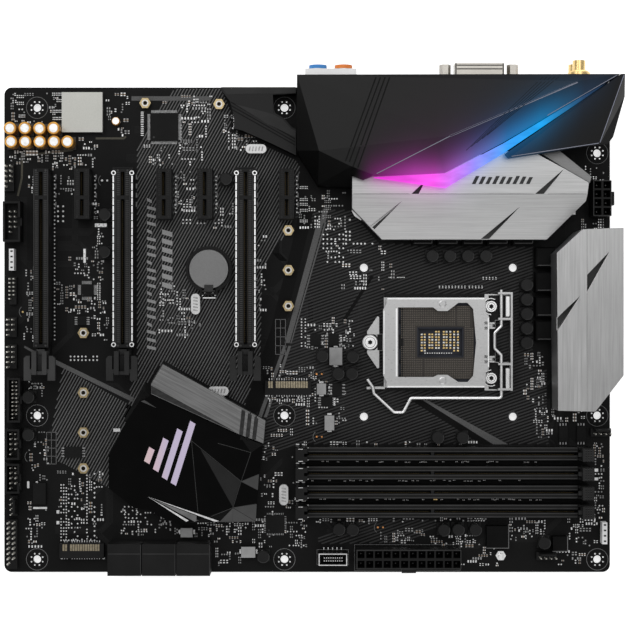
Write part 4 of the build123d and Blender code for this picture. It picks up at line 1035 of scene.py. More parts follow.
    # behind the rear heatsink's left end and over the processor area
    for rear in (50.4, 56.4, 58.8, 61.8, 67.2):
        for i in range(5):
            s.two_ended(149.0 + i * 0.85, rear, 1.3, 0.45, True, "dark_part")
    for rear in (57.4, 61.0, 65.0):
        for i in range(4):
            s.two_ended(161.4 + i * 0.9, rear, 1.3, 0.45, True, "dark_part", ends="dull_solder")
    s.cluster(148.0, 172.0, 52.0, 72.0, 110, 57, (0.3, 0.4, 0.3))
    for values in ((160.6, 74.0, 6, 7, 2.0, 2.3, 0.5, 0.62, 10),
                   (172.0, 66.6, 8, 7, 1.9, 2.0, 0.55, 0.62, 11)):
        s.grid(*values)
    for values in ((160.0, 192.0, 70.0, 86.0, 60, 58),
                   (170.0, 200.0, 88.0, 102.0, 60, 59, MOSTLY_PARTS)):
        s.cluster(*values)
    for values in ((194.0, 95.6, 6, 1.4, False, True, "dark_part", 1.0, 0.5),
                   (219.0, 100.4, 9, 1.6, True, True, "dark_part", 1.2, 0.6),
                   (234.0, 100.4, 5, 1.6, True, True, "dark_part", 1.2, 0.6),
                   (241.0, 96.0, 5, 1.6, True, True, "dark_part", 1.2, 0.6)):
        s.row_of_parts(*values)
    # between the right card socket and the processor
    s.grid(149.6, 116.6, 2, 10, 1.9, 1.5, 0.42, 0.7, 12)
    for values in ((152.0, 176.0, 116.0, 132.0, 150, 60, (0.6, 0.25, 0.15)),
                   (155.0, 172.0, 146.0, 170.0, 120, 61, (0.4, 0.4, 0.2)),
                   (130.0, 156.0, 140.0, 147.0, 60, 62, MOSTLY_PARTS),
                   (132.0, 156.0, 154.0, 161.0, 50, 63)):
        s.cluster(*values)
    for i in range(14):
        s.pad(133.6 + i * 1.25, 157.4, 0.45, 1.4)
    s.cluster(122.0, 132.0, 74.0, 116.0, 90, 64, (0.3, 0.4, 0.3))
    s.row_of_parts(152.6, 162.6, 5, 1.7, False, False, "ceramic", 1.6, 0.8)
    # round the processor socket and side heatsink
    for values in ((262.0, 273.0, 132.0, 160.0, 130, 65, (0.7, 0.2, 0.1)),
                   (266.0, 276.0, 160.0, 178.0, 70, 66),
                   (276.0, 292.0, 161.0, 168.0, 60, 67, (0.7, 0.2, 0.1)),
                   (285.0, 302.0, 36.0, 48.0, 60, 68, (0.5, 0.4, 0.1)),
                   (290.0, 303.6, 66.0, 72.0, 30, 69),
                   (296.0, 302.0, 176.0, 217.0, 150, 70, (0.6, 0.3, 0.1)),
                   (283.0, 299.0, 214.0, 224.0, 60, 71), (276.0, 300.0, 224.0, 240.0, 70, 72)):
        s.cluster(*values)
    # in front of the memory slots
    for values in ((152.0, 215.0, 216.4, 219.0, 60, 73, MOSTLY_PARTS),
                   (186.0, 214.0, 221.0, 229.0, 70, 74),
                   (214.0, 246.0, 216.2, 218.6, 70, 75, MOSTLY_PARTS),
                   (214.0, 242.0, 225.0, 231.0, 90, 76),
                   (252.0, 272.0, 215.0, 228.0, 120, 77), (230.0, 250.0, 231.0, 241.0, 50, 78)):
        s.cluster(*values)
    s.small_chip(259.4, 220.6, 6.0, 5.6, 6, 0.8)
    for shelf in range(3):
        rear = FIRST_DIMM + DIMM_PITCH * (shelf + 0.5)
        rng = random.Random(90 + shelf)
        for _ in range(34):
            left = rng.uniform(154.0, 270.0)
            s.two_ended(left, rear + rng.choice((-0.2, 0.0, 0.2)), 1.0, 0.5, False,
                        rng.choice(("ceramic", "dark_part")))
        s.pad(217.0, rear, 2.0, 0.5, "gold")
        s.pad(220.4, rear, 1.4, 0.5, "gold")
    s.cluster(148.0, 262.0, 178.2, 179.8, 60, 79, MOSTLY_PARTS)
    # round pads waiting for a can, in pairs
    for (left, rear), name in PAIRS_FOR_A_CAN.items():
        s.dot(left, rear, 0.62, name)
        s.dot(left + 2.6, rear, 0.55, name)
    s.make()


# ---------------------------------------------------------------- fitted detail
def hole_vias():
    """Eight tinned points round each case hole, on both sides."""
    tin, lands = Pile(), Pile()
    for left, rear in CASE_HOLES:
        for i in range(8):
            a = math.radians(22.5 + 45 * i)
            for low, high in ((0.0, 0.12), (-THICKNESS - 0.12, -THICKNESS)):
                tin.disc(left + 3.05 * math.cos(a), rear + 3.05 * math.sin(a), 0.42, low, high, 10)
    for left, rear in COOLER_HOLES:
        lands.arc(left, rear, 2.45, 0.5, 0.0, 0.04, sides=32)
    tin.make("hole_vias", M["solder"])
    lands.make("cooler_hole_rings", M["ink_dim"])


SLOT_TOP = 11.2


def slot_length(position):
    return 88.9 if position in LONG_SLOTS else 25.0


def slot_ribs():
    """Fine ribs and contact ends along the card slots."""
    long_ribs, short_ribs, contacts = Pile(), Pile(), Pile()
    for position in LONG_SLOTS + SHORT_SLOTS:
        centre = position * SLOT_PITCH
        length = slot_length(position)
        ribs = long_ribs if position in LONG_SLOTS else short_ribs
        for i in range(int(length - 3.0)):
            rear = SLOT_REAR + 1.8 + i
            if 13.2 < rear - SLOT_REAR < 15.4:
                continue
            for side in (-1, 1):
                x = centre + side * 2.2
                ribs.box(x - 0.75, x + 0.75, rear, rear + 0.45, SLOT_TOP, SLOT_TOP + 0.12)
                x = centre + side * 0.72
                contacts.box(x - 0.12, x + 0.12, rear, rear + 0.5, 3.2, 7.0)
        for side in (-1, 1):
            x = centre + side * 3.45
            ribs.box(x - 0.12, x + 0.12, SLOT_REAR + 0.4, SLOT_REAR + length - 0.4,
                     SLOT_TOP, SLOT_TOP + 0.14)
            for rear in (SLOT_REAR + 1.0, SLOT_REAR + length - 1.0):
                ribs.disc(centre + side * 2.4, rear, 0.55, SLOT_TOP, SLOT_TOP + 0.3, 12)
    long_ribs.make("long_slot_ribs", M["slot_rib"])
    short_ribs.make("short_slot_ribs", M["latch"])
    contacts.make("card_slot_contacts", M["dark_gold"])


def slot_solder():
    """Solder points beside the bare slots, and the bright edges of the steel sleeves."""
    tin, rings = Pile(), Pile()
    for position in LONG_SLOTS + SHORT_SLOTS:
        if position in ARMOURED:
            continue
        for i in range(int(slot_length(position) / 2) - 2):
            tin.disc(position * SLOT_PITCH + 5.0, SLOT_REAR + 3.0 + i * 2.0, 0.42, 0.0, 0.3, 8, 0.7)
    for position in ARMOURED:
        centre = position * SLOT_PITCH
        for side in (-1, 1):
            x = centre + side * 4.66
            for i in range(22):
                rear = SLOT_REAR + 3.6 + i * 3.75
                rings.box(x - 0.34, x + 0.34, rear, rear + 3.3, 11.5, 11.56)
            for rear in (SLOT_REAR + 2.2, SLOT_REAR + 87.4):
                rings.arc(centre + side * 4.5, rear, 0.95, 0.45, 11.4, 11.58, sides=16)
    tin.make("slot_solder_points", M["solder"])
    rings.make("sleeve_bright_edges", M["bright_steel"])


MEMORY_TOP, MEMORY_KEY = 8.6, 214.9


def memory_slot_detail():
    """Contact rows, edge ribs and end clips of the memory slots."""
    ribs, contacts, clips = Pile(), Pile(), Pile()
    for i in range(4):
        middle = FIRST_DIMM + i * DIMM_PITCH
        for side in (-1, 1):
            for shift, half in ((2.9, 0.22), (1.15, 0.16)):
                rear = middle + side * shift
                ribs.box(153.0, 287.0, rear - half, rear + half, MEMORY_TOP, MEMORY_TOP + 0.15)
            rear = middle + side * 0.66
            left = 153.6
            while left < 286.0:
                if abs(left - MEMORY_KEY) > 1.4:
                    contacts.box(left, left + 0.45, rear - 0.10, rear + 0.10, 3.2, 5.6)
                left += 0.85
        for side in (-1, 1):
            rear = middle + side * 3.0
            clips.box(148.2, 150.4, rear - 0.14, rear + 0.14, 16.8, 16.96)
            clips.box(151.6, 153.2, rear - 0.14, rear + 0.14, MEMORY_TOP, 9.4)
            for left in (147.6, 150.6):
                clips.slab(left, middle + side * 4.0, 1.6, 0.6, 0.0, 0.5)
    ribs.make("memory_slot_ribs", M["slot_rib"])
    contacts.make("memory_slot_contacts", M["dark_gold"])
    clips.make("memory_slot_clips", M["solder"])


def latch_ribs():
    """Ribs on the memory latches, which swing with them."""
    for i in range(4):
        pile = Pile()
        rear = FIRST_DIMM + i * DIMM_PITCH
        for k in range(5):
            pile.box(288.7, 293.7, rear - 2.6 + k * 1.2, rear - 2.2 + k * 1.2, 16.2, 16.95)
        pile.make(f"memory_latch_ribs_{i + 1}", M["slot_rib"], f"dimm_latch_{i + 1}")


SOCKET_REAR = 128.2
TIP_PITCH = 0.914
FIELD_LOW, FIELD_TOP = 1.0, 3.0          # the window's floor and the contact field's top
FRAME_TOP, PLATE_TOP = 1.3, 5.6


def tip_stands_at(left, rear):
    """Whether the socket has a contact tip here: not in its window, its keys or its corners."""
    past = left > 235.6 or rear > 146.2
    window = 206.6 < left < 231.6 and 119.6 < rear < 136.4
    corner = 234.0 < left and rear < 121.0
    key = left < 201.4 and abs(rear - SOCKET_REAR) < 1.6
    gap = (abs(left - 227.6) < 0.5 and rear < 119.6) or (abs(left - 211.0) < 0.5 and rear > 136.4)
    return not (past or window or corner or key or gap)


def socket_window(gold, pale, row):
    """Small parts standing in the socket's window."""
    columns = (210.0, 211.5, 213.9, 215.3, 217.2, 218.6, 221.1, 222.5, 224.4, 226.3, 228.2)
    for i, left in enumerate(columns):
        for j in range(1 if i < 4 else 0, 8):
            if j < 7 or i in (0, 1, 9, 10):
                rear = 122.9 + j * 1.36
                pile = gold if (2 * i + j) % 5 in (0, 2, 3) else pale
                pile.box(left - 0.46, left + 0.46, rear - 0.38, rear + 0.38, FIELD_LOW, 1.25)
    for i in range(12):
        row.box(211.4 + i * 1.2, 212.0 + i * 1.2, 133.4, 133.9, FIELD_LOW, 1.3)


def socket_detail():
    """Contact tips in the processor socket, its middle window and its moulded edges, and painted shade on
    and round its frame.
    """
    tips, gold, pale, row, moulding = Pile(), Pile(), Pile(), Pile(), Pile()
    for i in range(40):
        for j in range(40):
            left, rear = 199.8 + i * TIP_PITCH, 110.4 + j * TIP_PITCH
            if tip_stands_at(left, rear):
                tips.box(left - 0.24, left + 0.24, rear - 0.24, rear + 0.10, FIELD_TOP, 3.32)
    socket_window(gold, pale, row)
    for side in (-1, 1):
        rear = SOCKET_REAR + side * 7.2
        moulding.box(208.0, 230.4, rear - 0.35, rear + 0.35, FIELD_TOP, 3.5)
    for left in (207.6, 230.1):
        moulding.box(left, left + 0.7, 121.0, 135.4, FIELD_TOP, 3.5)
    for rear in (111.6, 119.0, 131.6, 139.0):
        moulding.box(198.45, 199.2, rear, rear + 5.4, 2.6, 4.2)
    row.make("socket_window_row", M["solder"])

    # Painted shade: dark sheets beside the contact field, on the frame beside the plate and round the
    # screws, dark rings on the screw heads and in their star recesses; the two long strips darken the
    # frame's front and rear edges to the board's black.
    shade = Pile()
    shade.box(198.5, 200.6, 109.2, 147.2, FIELD_TOP, 3.2)
    for outline in ((191.0, 241.6, 104.0, 105.7), (191.0, 241.6, 150.9, 152.4),
                    (187.7, 190.3, 124.1, 132.3), (243.6, 254.0, 104.6, 117.0),
                    (243.6, 254.0, 138.4, 151.8), (243.6, 246.9, 117.0, 138.4)):
        shade.box(*outline, FRAME_TOP, FRAME_TOP + 0.06)
    for left, rear, radius, high in ((184.0, SOCKET_REAR, 3.4, 3.9), (244.8, 110.2, 2.7, 3.2),
                                     (244.8, 146.2, 2.7, 3.2)):
        shade.arc(left, rear, radius + 0.75, 0.7, FRAME_TOP, FRAME_TOP + 0.1, sides=36)
        shade.arc(left, rear, radius - 0.75, 0.22, high, high + 0.03, sides=36)
        star = []
        for i in range(12):
            r, a = 1.35 if i % 2 else 0.8, math.pi * i / 6
            star.append((left + r * math.cos(a), rear + r * math.sin(a)))
        shade.prism(star, high, high + 0.03)
    shade.make("socket_shadow_gaps", M["shade"])

    rings = Pile()
    for rear, first, last in ((110.2, 90, 300), (146.2, 60, 270)):
        rings.arc(244.8, rear, 4.0, 0.4, FRAME_TOP, 1.8, first, last, sides=40)
        rings.box(251.9, 253.6, rear - 4.9, rear + 4.9, 5.4, 5.56)
    rings.make("socket_frame_rings", M["wire"])
    tips.make("socket_contact_tips", M["tip"])
    gold.make("socket_window_parts", M["gold"])
    pale.make("socket_window_parts_tinned", M["bright_pin"])
    moulding.make("socket_moulding", M["socket"])


def plate_detail():
    """Rolled edges of the load plate in brighter steel as a painted highlight, and its pressed buttons,
    which lift with it.
    """
    rolled = Pile()
    for *outline, high in ((192.6, 241.0, 106.0, 106.7, 5.85), (192.6, 241.0, 149.9, 150.6, 5.85),
                           (196.7, 197.5, 111.2, 145.2, 5.85), (242.7, 243.3, 116.0, 140.4, 5.8),
                           (190.6, 191.1, 112.4, 144.0, 5.8)):
        rolled.box(*outline, PLATE_TOP, high)
    rolled.make("load_plate_edge_highlights", M["bright_steel"], "load_plate")
    pressed = Pile()
    for rear in (108.9, 147.3):
        pressed.disc(220.2, rear, 1.9, PLATE_TOP, 5.8, 24, 0.7)
    pressed.make("load_plate_buttons", M["steel"], "load_plate")


def header_pins():
    """Square pins of the open and boxed headers."""
    pins = Pile()
    for left, rear, rows, step, high in ((1.9, 40.0, 5, 2.54, 8.6), (3.6, 96.4, 6, 2.0, 6.0),
                                         (2.9, 116.8, 4, 2.54, 8.6), (2.9, 130.4, 5, 2.54, 8.6),
                                         (3.2, 218.4, 9, 2.54, 8.6), (4.0, 62.8, 5, 2.54, 7.6),
                                         (5.3, 148.0, 10, 2.0, 7.0), (4.3, 173.9, 5, 2.54, 7.6),
                                         (4.3, 190.9, 5, 2.54, 7.6)):
        for i in range(2):
            for j in range(rows):
                if (i, j) != (1, rows - 1):
                    pins.upright(left + i * step, rear + j * step, 0.72, 0.0, high)
    for i in range(4):
        shift = i * 2.54
        for left, rear in ((4.8, 206.4 + shift), (269.0 + shift, 235.8), (296.2 + shift, 173.8)):
            pins.upright(left, rear, 0.6, 0.0, 9.4)
    pins.make("header_pins", M["bright_pin"])


def front_header_detail():
    """Bright shell edge, tongue pins and feet of the front serial-bus header."""
    left, right, rear, front, _, high = measures("front_usb_header")
    bright = Pile()
    bright.frame_box(left, right, rear, front, 0.45, high, high + 0.08)
    for i in range(9):
        x = left + 2.6 + i * 1.1
        bright.box(x, x + 0.45, rear + 2.0, rear + 2.5, high - 1.0, high - 0.7)
        bright.box(x, x + 0.45, front - 2.5, front - 2.0, high - 1.0, high - 0.7)
    for i in range(5):
        bright.slab(left + 2.6 + i * 2.2, rear - 1.4, 0.5, 1.3, 0.0, 0.3)
    bright.make("front_header_shell", M["solder"])


def light_header_pin_shade():
    """Painted shade: four dark marks in each white light-strip header, standing for the shadows of its
    pins.
    """
    pins = Pile()
    for left, right, rear, front in loose_boxes("light_headers"):
        for i in range(4):
            y = rear + (front - rear) * (i + 0.5) / 4
            pins.box((left + right) / 2 - 0.5, (left + right) / 2 + 0.7, y - 0.55, y + 0.25, 6.0, 6.04)
    pins.make("light_header_pin_shade", M["dark_part"])


def power_pins():
    """Terminals down in the power sockets' cells, and the sockets' rims."""
    pins, rims = Pile(), Pile()
    for left, right, rear, front, columns, rows in ((177.0, 228.8, 230.8, 240.4, 12, 2),
                                                    (294.2, 303.2, 47.8, 65.4, 2, 4)):
        rims.frame_box(left, right, rear, front, 0.3, 12.8, 12.86)
        for i in range(columns):
            for j in range(rows):
                pins.upright(left + (right - left) * (i + 0.5) / columns,
                             rear + (front - rear) * (j + 0.5) / rows, 1.1, 2.6, 9.0)
    pins.make("power_pins", M["dark_pin"])
    rims.make("power_socket_rims", M["slot_rib"])


def card_socket_detail():
    """Solder feet and contacts of the two storage-card sockets."""
    feet, gold = Pile(), Pile()
    for left, right, rear, front in ((131.4, 154.4, 147.4, 154.6), (28.4, 50.6, 229.0, 236.4)):
        count = int((right - left - 3) / 1.25)
        for i in range(count):
            x = left + 1.6 + i * 1.25
            if i != 2:
                gold.box(x, x + 0.95, rear + 0.3, rear + 3.6, 4.2, 4.27)
                feet.slab(x + 0.4, front + 0.5, 0.4, 0.9, 0.0, 0.15)
                feet.slab(x + 0.4, rear - 0.6, 0.4, 1.0, 0.0, 0.15)
        for x in (left + 0.6, right - 0.6):
            feet.slab(x, front + 0.3, 1.1, 1.1, 0.0, 0.5)
    feet.make("card_socket_feet", M["solder"])
    gold.make("card_socket_contacts", M["aged_gold"])


def front_button():
    """The small button at the front edge, and the bright legs of the left fan header."""
    button = Pile()
    button.disc(249.7, 235.4, 2.6, 0.0, 1.6, 6)
    button.disc(249.7, 235.4, 1.3, 1.6, 2.3, 20, 0.8)
    for left in (12.1, 16.5):
        button.slab(left, 199.9, 1.1, 3.4, 0.0, 0.5)
    button.make("front_button_and_legs", M["bright_steel"])


def chip_legs():
    """Legs of the large packages."""
    legs = Pile()
    for left, right, rear, front, step, reach in ((73.6, 87.6, 13.0, 27.0, 0.5, 1.5),
                                                  (38.7, 45.1, 99.0, 105.3, 0.5, 1.6)):
        count = int((right - left - 1.0) / step)
        for i in range(count):
            shift = 0.6 + i * step
            for rear_side in (rear - reach / 2, front + reach / 2):
                legs.slab(left + shift, rear_side, step * 0.55, reach, 0.05, 0.3)
            for left_side in (left - reach / 2, right + reach / 2):
                legs.slab(left_side, rear + shift, reach, step * 0.55, 0.05, 0.3)
    for left, right, rear, front in ((37.0, 41.4, 115.2, 119.6), (30.4, 39.2, 180.8, 186.2),
                                     (153.9, 159.4, 124.1, 130.0), (163.0, 168.4, 124.1, 130.0),
                                     (159.4, 165.2, 155.8, 160.2), (165.0, 170.0, 148.8, 155.2)):
        for i in range(4):
            y = rear + (front - rear) * (i + 0.5) / 4
            for x in (left - 0.7, right + 0.7):
                legs.slab(x, y, 1.6, 0.55, 0.0, 0.3)
    for i in range(10):
        for x, y, w, d in ((132.4 + i * 0.88, 214.6, 0.35, 0.9), (132.4 + i * 0.88, 224.8, 0.35, 0.9),
                           (131.2, 215.9 + i * 0.88, 0.9, 0.35), (141.5, 215.9 + i * 0.88, 0.9, 0.35)):
            legs.slab(x, y, w, d, 0.0, 0.2)
    for x in (279.8, 281.2, 282.6, 288.8, 290.2, 291.6):
        for y in (169.6, 179.0):
            legs.slab(x, y, 0.6, 1.2, 0.0, 0.3)
    legs.make("chip_legs", M["dull_solder"])
    marks = Pile()
    for left, rear, radius in ((75.4, 25.2, 0.5), (39.6, 104.4, 0.3), (133.2, 222.8, 0.4)):
        marks.disc(left, rear, radius, 1.0, 1.52 if radius > 0.45 else 1.22, 12)
    marks.make("chip_index_dots", M["slot_rib"])


def standoff_detail():
    """Bright turned faces of the brass standoffs, and painted shade filling the threaded bore inside
    them.
    """
    faces, bore_shade = Pile(), Pile()
    for x, y in middles("m2_standoffs"):
        faces.arc(x, y, 1.4, 0.6, 2.4, 2.44, sides=36)
        bore_shade.disc(x, y, 0.98, -1.0, 1.2, 20)
    faces.make("standoff_faces", M["tin"])
    bore_shade.make("standoff_bore_shade", M["shade"])


def can_tops():
    """Bright tops of the gold cans, and a painted highlight on one side of the black ones' rims."""
    tops, rims, bases = Pile(), Pile(), Pile()
    for x, y in middles("audio_capacitors"):
        tops.disc(x, y, 2.2, 8.6, 8.72, 28, 0.92)
    for x, y in middles("capacitors"):
        rims.arc(x, y, 2.85, 0.22, 7.0, 7.06, -30, 110, sides=36)
    tops.disc(56.6, 17.4, 1.7, 0.1, 4.6, 24)
    bases.disc(56.6, 17.4, 1.95, 0.1, 4.2, 24)
    tops.make("gold_can_tops", M["can_top"])
    rims.make("black_can_painted_rim_highlights", M["painted_rim_highlight"])
    bases.make("small_gold_can", M["gold_can"])


def crystal_lids():
    """Sunken darker fields on the crystals' lids."""
    lids = Pile()
    for left, right, rear, front in loose_boxes("crystals"):
        x, y = (left + right) / 2, (rear + front) / 2
        width, depth = right - left - 2.2, front - rear - 2.2
        for i in range(5):
            share = (i - 2) / 2.6
            if depth > width:
                lids.slab(x, y + share * depth / 2, width, 0.7, 3.6, 3.63, 12)
            else:
                lids.slab(x + share * width / 2, y, 0.7, depth, 3.6, 3.63, 12)
    lids.make("crystal_lids", M["dull_solder"])


def choke_detail():
    """Lighter seams on the power chokes; grey bodies and feet of the small ones."""
    seams, bodies, feet = Pile(), Pile(), Pile()
    for left, right, rear, front in loose_boxes("power_chokes"):
        seams.box(left + 0.9, right - 0.9, front - 1.0, front - 0.8, 7.2, 7.26)
        seams.box(right - 1.0, right - 0.8, rear + 0.9, front - 0.9, 7.2, 7.26)
    for left, right, rear, front in loose_boxes("small_chokes"):
        if right - left > 7.0 and front - rear > 7.0:
            seams.box(left, right, front, front + 0.4, 0.1, 4.3)
            seams.box(right, right + 0.4, rear, front + 0.4, 0.1, 4.3)
            continue
        bodies.box(left + 0.1, right - 0.1, rear + 0.1, front - 0.1, 3.4, 3.46)
        x, y = (left + right) / 2, (rear + front) / 2
        if right - left > front - rear:
            feet.slab(left - 0.4, y, 1.0, 2.2, 0.0, 0.6)
            feet.slab(right + 0.4, y, 1.0, 2.2, 0.0, 0.6)
        else:
            feet.slab(x, rear - 0.4, 2.2, 1.0, 0.0, 0.6)
            feet.slab(x, front + 0.4, 2.2, 1.0, 0.0, 0.6)
    seams.make("choke_seams", M["edge_grey"])
    bodies.make("grey_choke_tops", M["grey_ferrite"])
    feet.make("grey_choke_feet", M["solder"])


def drive_port_edges():
    """Fine step line across each drive-port stack, and a fine line down its right side."""
    edge = Pile()
    for left, right, rear, front in loose_boxes("drive_ports"):
        for outline in ((left + 0.3, right - 0.3, 232.3, 232.6),
                        (right - 0.35, right - 0.1, rear + 0.3, front - 0.3)):
            edge.box(*outline, 15.4, 15.44)
    edge.make("drive_port_edges", M["slot_rib"])


CHIPSET_TOP = 10.0


def chipset_mark():
    """Generic mark: four slanted blades of growing length, with no likeness to any maker's sign."""
    mark = Pile()
    for i, (top, bottom) in enumerate(((180.0, 188.6), (175.4, 192.6), (170.8, 196.6), (167.0, 199.4))):
        left = 71.4 + i * 4.4
        lean = (bottom - top) * 0.30
        mark.prism([(left + lean, top), (left + lean + 2.7, top + 1.6), (left + 2.7, bottom),
                    (left, bottom - 1.6)], CHIPSET_TOP, CHIPSET_TOP + 0.12)
    mark.make("chipset_mark", M["pearl"])


def chipset_trim():
    """Bright trim lines, the mesh wedge between them, and a painted highlight on a lit facet edge."""
    lines, mesh, edges = Pile(), Pile(), Pile()
    apex = (73.4, 204.8)
    for pile, outline, lift in ((lines, [apex, (93.6, 216.6), (92.4, 217.2)], 0.25),
                                (lines, [apex, (108.8, 216.9), (106.6, 217.2)], 0.25),
                                (mesh, [(77.2, 206.6), (100.6, 215.4), (96.6, 217.2)], 0.1),
                                (edges, [(69.8, 157.4), (77.8, 160.8), (71.6, 156.8)], 0.1)):
        pile.prism(outline, CHIPSET_TOP, CHIPSET_TOP + lift)
    lines.make("chipset_trim_lines", M["solder"])
    mesh.make("chipset_trim_mesh", M["mesh_grey"])
    edges.make("chipset_lit_edge_highlight", M["painted_lit_facet"])


def surface_height(node, left, rear):
    """Height of a CAD node's top face over one point of the board, or None beside it."""
    owner = NODES[node]
    to_local = owner.matrix_world.inverted()
    start = to_local @ Vector(place(left, rear, 80.0))
    aim = to_local.to_3x3() @ Vector((0.0, 0.0, -1.0))
    hit, spot, _, _ = owner.ray_cast(start, aim)
    return ((owner.matrix_world @ spot).z - TOP) / MM if hit else None


def draped_line(pile, node, first, last, width, lift=0.03, steps=24):
    """A thin raised line that follows the top of a sloped node."""
    (x0, y0), (x1, y1) = first, last
    run = math.hypot(x1 - x0, y1 - y0)
    nx, ny = -(y1 - y0) / run * width / 2, (x1 - x0) / run * width / 2
    spots = []
    for i in range(steps + 1):
        x, y = x0 + (x1 - x0) * i / steps, y0 + (y1 - y0) * i / steps
        heights = [surface_height(node, x + s * nx, y + s * ny) for s in (-1, 1)]
        spots.append((x, y, heights) if None not in heights else None)
    for a, b in zip(spots, spots[1:]):
        if a and b:
            corners = [(a[0] - nx, a[1] - ny, a[2][0]), (b[0] - nx, b[1] - ny, b[2][0]),
                       (b[0] + nx, b[1] + ny, b[2][1]), (a[0] + nx, a[1] + ny, a[2][1])]
            pile.solid([place(x, y, z - 0.05) for x, y, z in reversed(corners)],
                       [place(x, y, z + lift) for x, y, z in reversed(corners)])


def draped_facet(pile, node, corners, lift=0.03):
    """A thin overlay lying on one flat facet of a sloped node."""
    middle_left = sum(x for x, _ in corners) / len(corners)
    middle_rear = sum(y for _, y in corners) / len(corners)
    ring = [(x + (middle_left - x) * 0.03, y + (middle_rear - y) * 0.03) for x, y in corners]
    ring = wound(ring)
    heights = [surface_height(node, x, y) for x, y in ring]
    if None not in heights:
        pile.solid([place(x, y, h - 0.05) for (x, y), h in zip(ring, heights)],
                   [place(x, y, h + lift) for (x, y), h in zip(ring, heights)])


def seam_shade_and_lit_sliver():
    """Painted shade: a dark sheet under the seam between the shroud and its wing, and painted light on
    the wing's outer facet.
    """
    shade_sheet = Pile()
    shade_sheet.prism([(280.0, 12.0), (283.0, 15.0), (300.0, 4.0), (300.0, 1.7), (296.5, 1.7)],
                26.85, 26.98)
    shade_sheet.prism([(293.0, -1.0), (293.0, 2.9), (297.0, 2.9), (299.2, 1.5), (304.7, 1.5),
                 (304.7, -1.0)], 33.6, 34.0)
    shade_sheet.make("shroud_seam_shade", M["deep"])
    sliver = Pile()
    draped_facet(sliver, "io_cover_wing", [(304.8, -1.0), (304.8, 9.8), (294.4, 31.7)])
    sliver.make("wing_edge_painted_lit_facet", M["painted_lit_facet"])


WIRELESS_TOP = 8.95


def cover_engraving():
    """Grooves, fine lines and painted highlights on the lit edges of the shroud, and painted light on the
    wireless cover's flat top.
    """
    grooves, fine, edges = Pile(), Pile(), Pile()
    for top, bottom in (((185.6, 0.4), (170.4, 42.4)), ((187.8, 0.4), (172.2, 42.8)),
                        ((190.0, 0.4), (174.6, 43.4)), ((192.2, 0.4), (176.9, 43.8))):
        draped_line(grooves, "io_cover", top, bottom, 0.65)
    for i in range(5):
        draped_line(fine, "io_cover", (265.6 + i * 1.9, 0.4), (229.0 + i * 2.5, 35.4 - i * 1.8), 0.22)
    for node, first, last, width in (("io_cover", (282.0, 3.0), (221.0, 28.9), 0.8),
                                     ("io_cover", (221.0, 28.9), (186.0, 46.6), 0.35),
                                     ("io_cover", (301.2, -0.5), (268.0, 18.6), 0.3),
                                     ("io_cover_wing", (304.3, -0.4), (294.3, 31.0), 0.35),
                                     ("io_cover_wing", (293.8, 31.3), (251.4, 37.8), 0.35)):
        draped_line(edges, node, first, last, width)
    for i in range(3):
        grooves.line([(114.6, 8.6 + i * 1.7), (146.6, 27.0 + i * 1.5)], 0.55,
                     WIRELESS_TOP, WIRELESS_TOP + 0.08)
    # Painted light: a lit wedge and a lit band on the wireless cover's flat top.
    tail = Pile()
    tail.prism([(116.8, 9.6), (135.0, 14.4), (140.4, 17.4), (144.4, 21.8), (146.6, 22.8), (146.6, 26.0),
                (132.7, 19.4)], WIRELESS_TOP, WIRELESS_TOP + 0.11)
    tail.prism([(110.2, 1.4), (146.7, 1.4), (146.7, 4.0), (112.4, 4.6)],
               WIRELESS_TOP, WIRELESS_TOP + 0.11)
    tail.make("wireless_cover_painted_light", M["painted_lit_tail_facet"])
    grooves.make("cover_grooves", M["deep"])
    fine.make("cover_fine_lines", M["deep"])
    edges.make("cover_lit_edges", M["lit_edge"])


def bridge_detail():
    """Painted highlight lines along the edges of the plate between the heatsinks, and the rear heatsink's
    clip.
    """
    plate = Pile()
    plate.line([(276.6, 34.4), (291.5, 46.5)], 0.4, 20.0, 20.05)
    plate.line([(267.8, 35.2), (279.2, 42.1), (290.6, 48.8)], 0.4, 20.0, 20.05)
    plate.make("bridge_painted_edge_lines", M["crease"])
    clip = Pile()
    clip.prism([(174.8, 61.4), (179.8, 66.8), (179.2, 67.4), (176.0, 65.2), (174.7, 62.8)], 8.0, 9.0)
    clip.make("rear_sink_clip", M["bright_steel"])


def heatsink_grooves():
    """Painted shade on the floors of the slanted cuts in both heatsinks and in slanted bars, and painted
    lines along their creases.
    """
    dark, crease = Pile(), Pile()
    cuts = [([(198.2, 59.6), (185.8, 72.3), (184.6, 71.2)], 15.6),
            ([(256.4, 62.0), (242.3, 76.9), (238.4, 76.9)], 14.2),
            ([(210.4, 48.8), (207.1, 55.2), (203.6, 55.2)], 20.8),
            ([(277.8, 43.4), (268.4, 55.2), (264.2, 55.2)], 20.8),
            ([(297.6, 84.6), (287.4, 103.0), (287.4, 95.4)], 31.4),
            ([(283.8, 106.0), (274.3, 121.4), (274.3, 116.0)], 26.0)]
    for outline, floor in cuts:
        dark.prism(outline, floor, floor + 0.1)
    draped_line(crease, "vrm_heatsink_rear", (175.2, 55.3), (289.2, 55.3), 0.3, 0.02, 60)
    draped_line(crease, "vrm_heatsink_side", (287.2, 73.6), (287.2, 160.5), 0.3, 0.02, 60)
    for i in range(9):
        left, long = 233.0 + i * 3.3, 3.9 - 0.25 * (i % 3)
        lean = long * 0.5
        dark.prism([(left + lean, 50.5 - long), (left + lean + 1.8, 50.5 - long),
                    (left + 1.8, 50.5), (left, 50.5)], 22.0, 23.1)
    dark.make("heatsink_groove_shade", M["groove"])
    crease.make("heatsink_painted_crease_lines", M["crease"])


BAR_TOP = 13.0


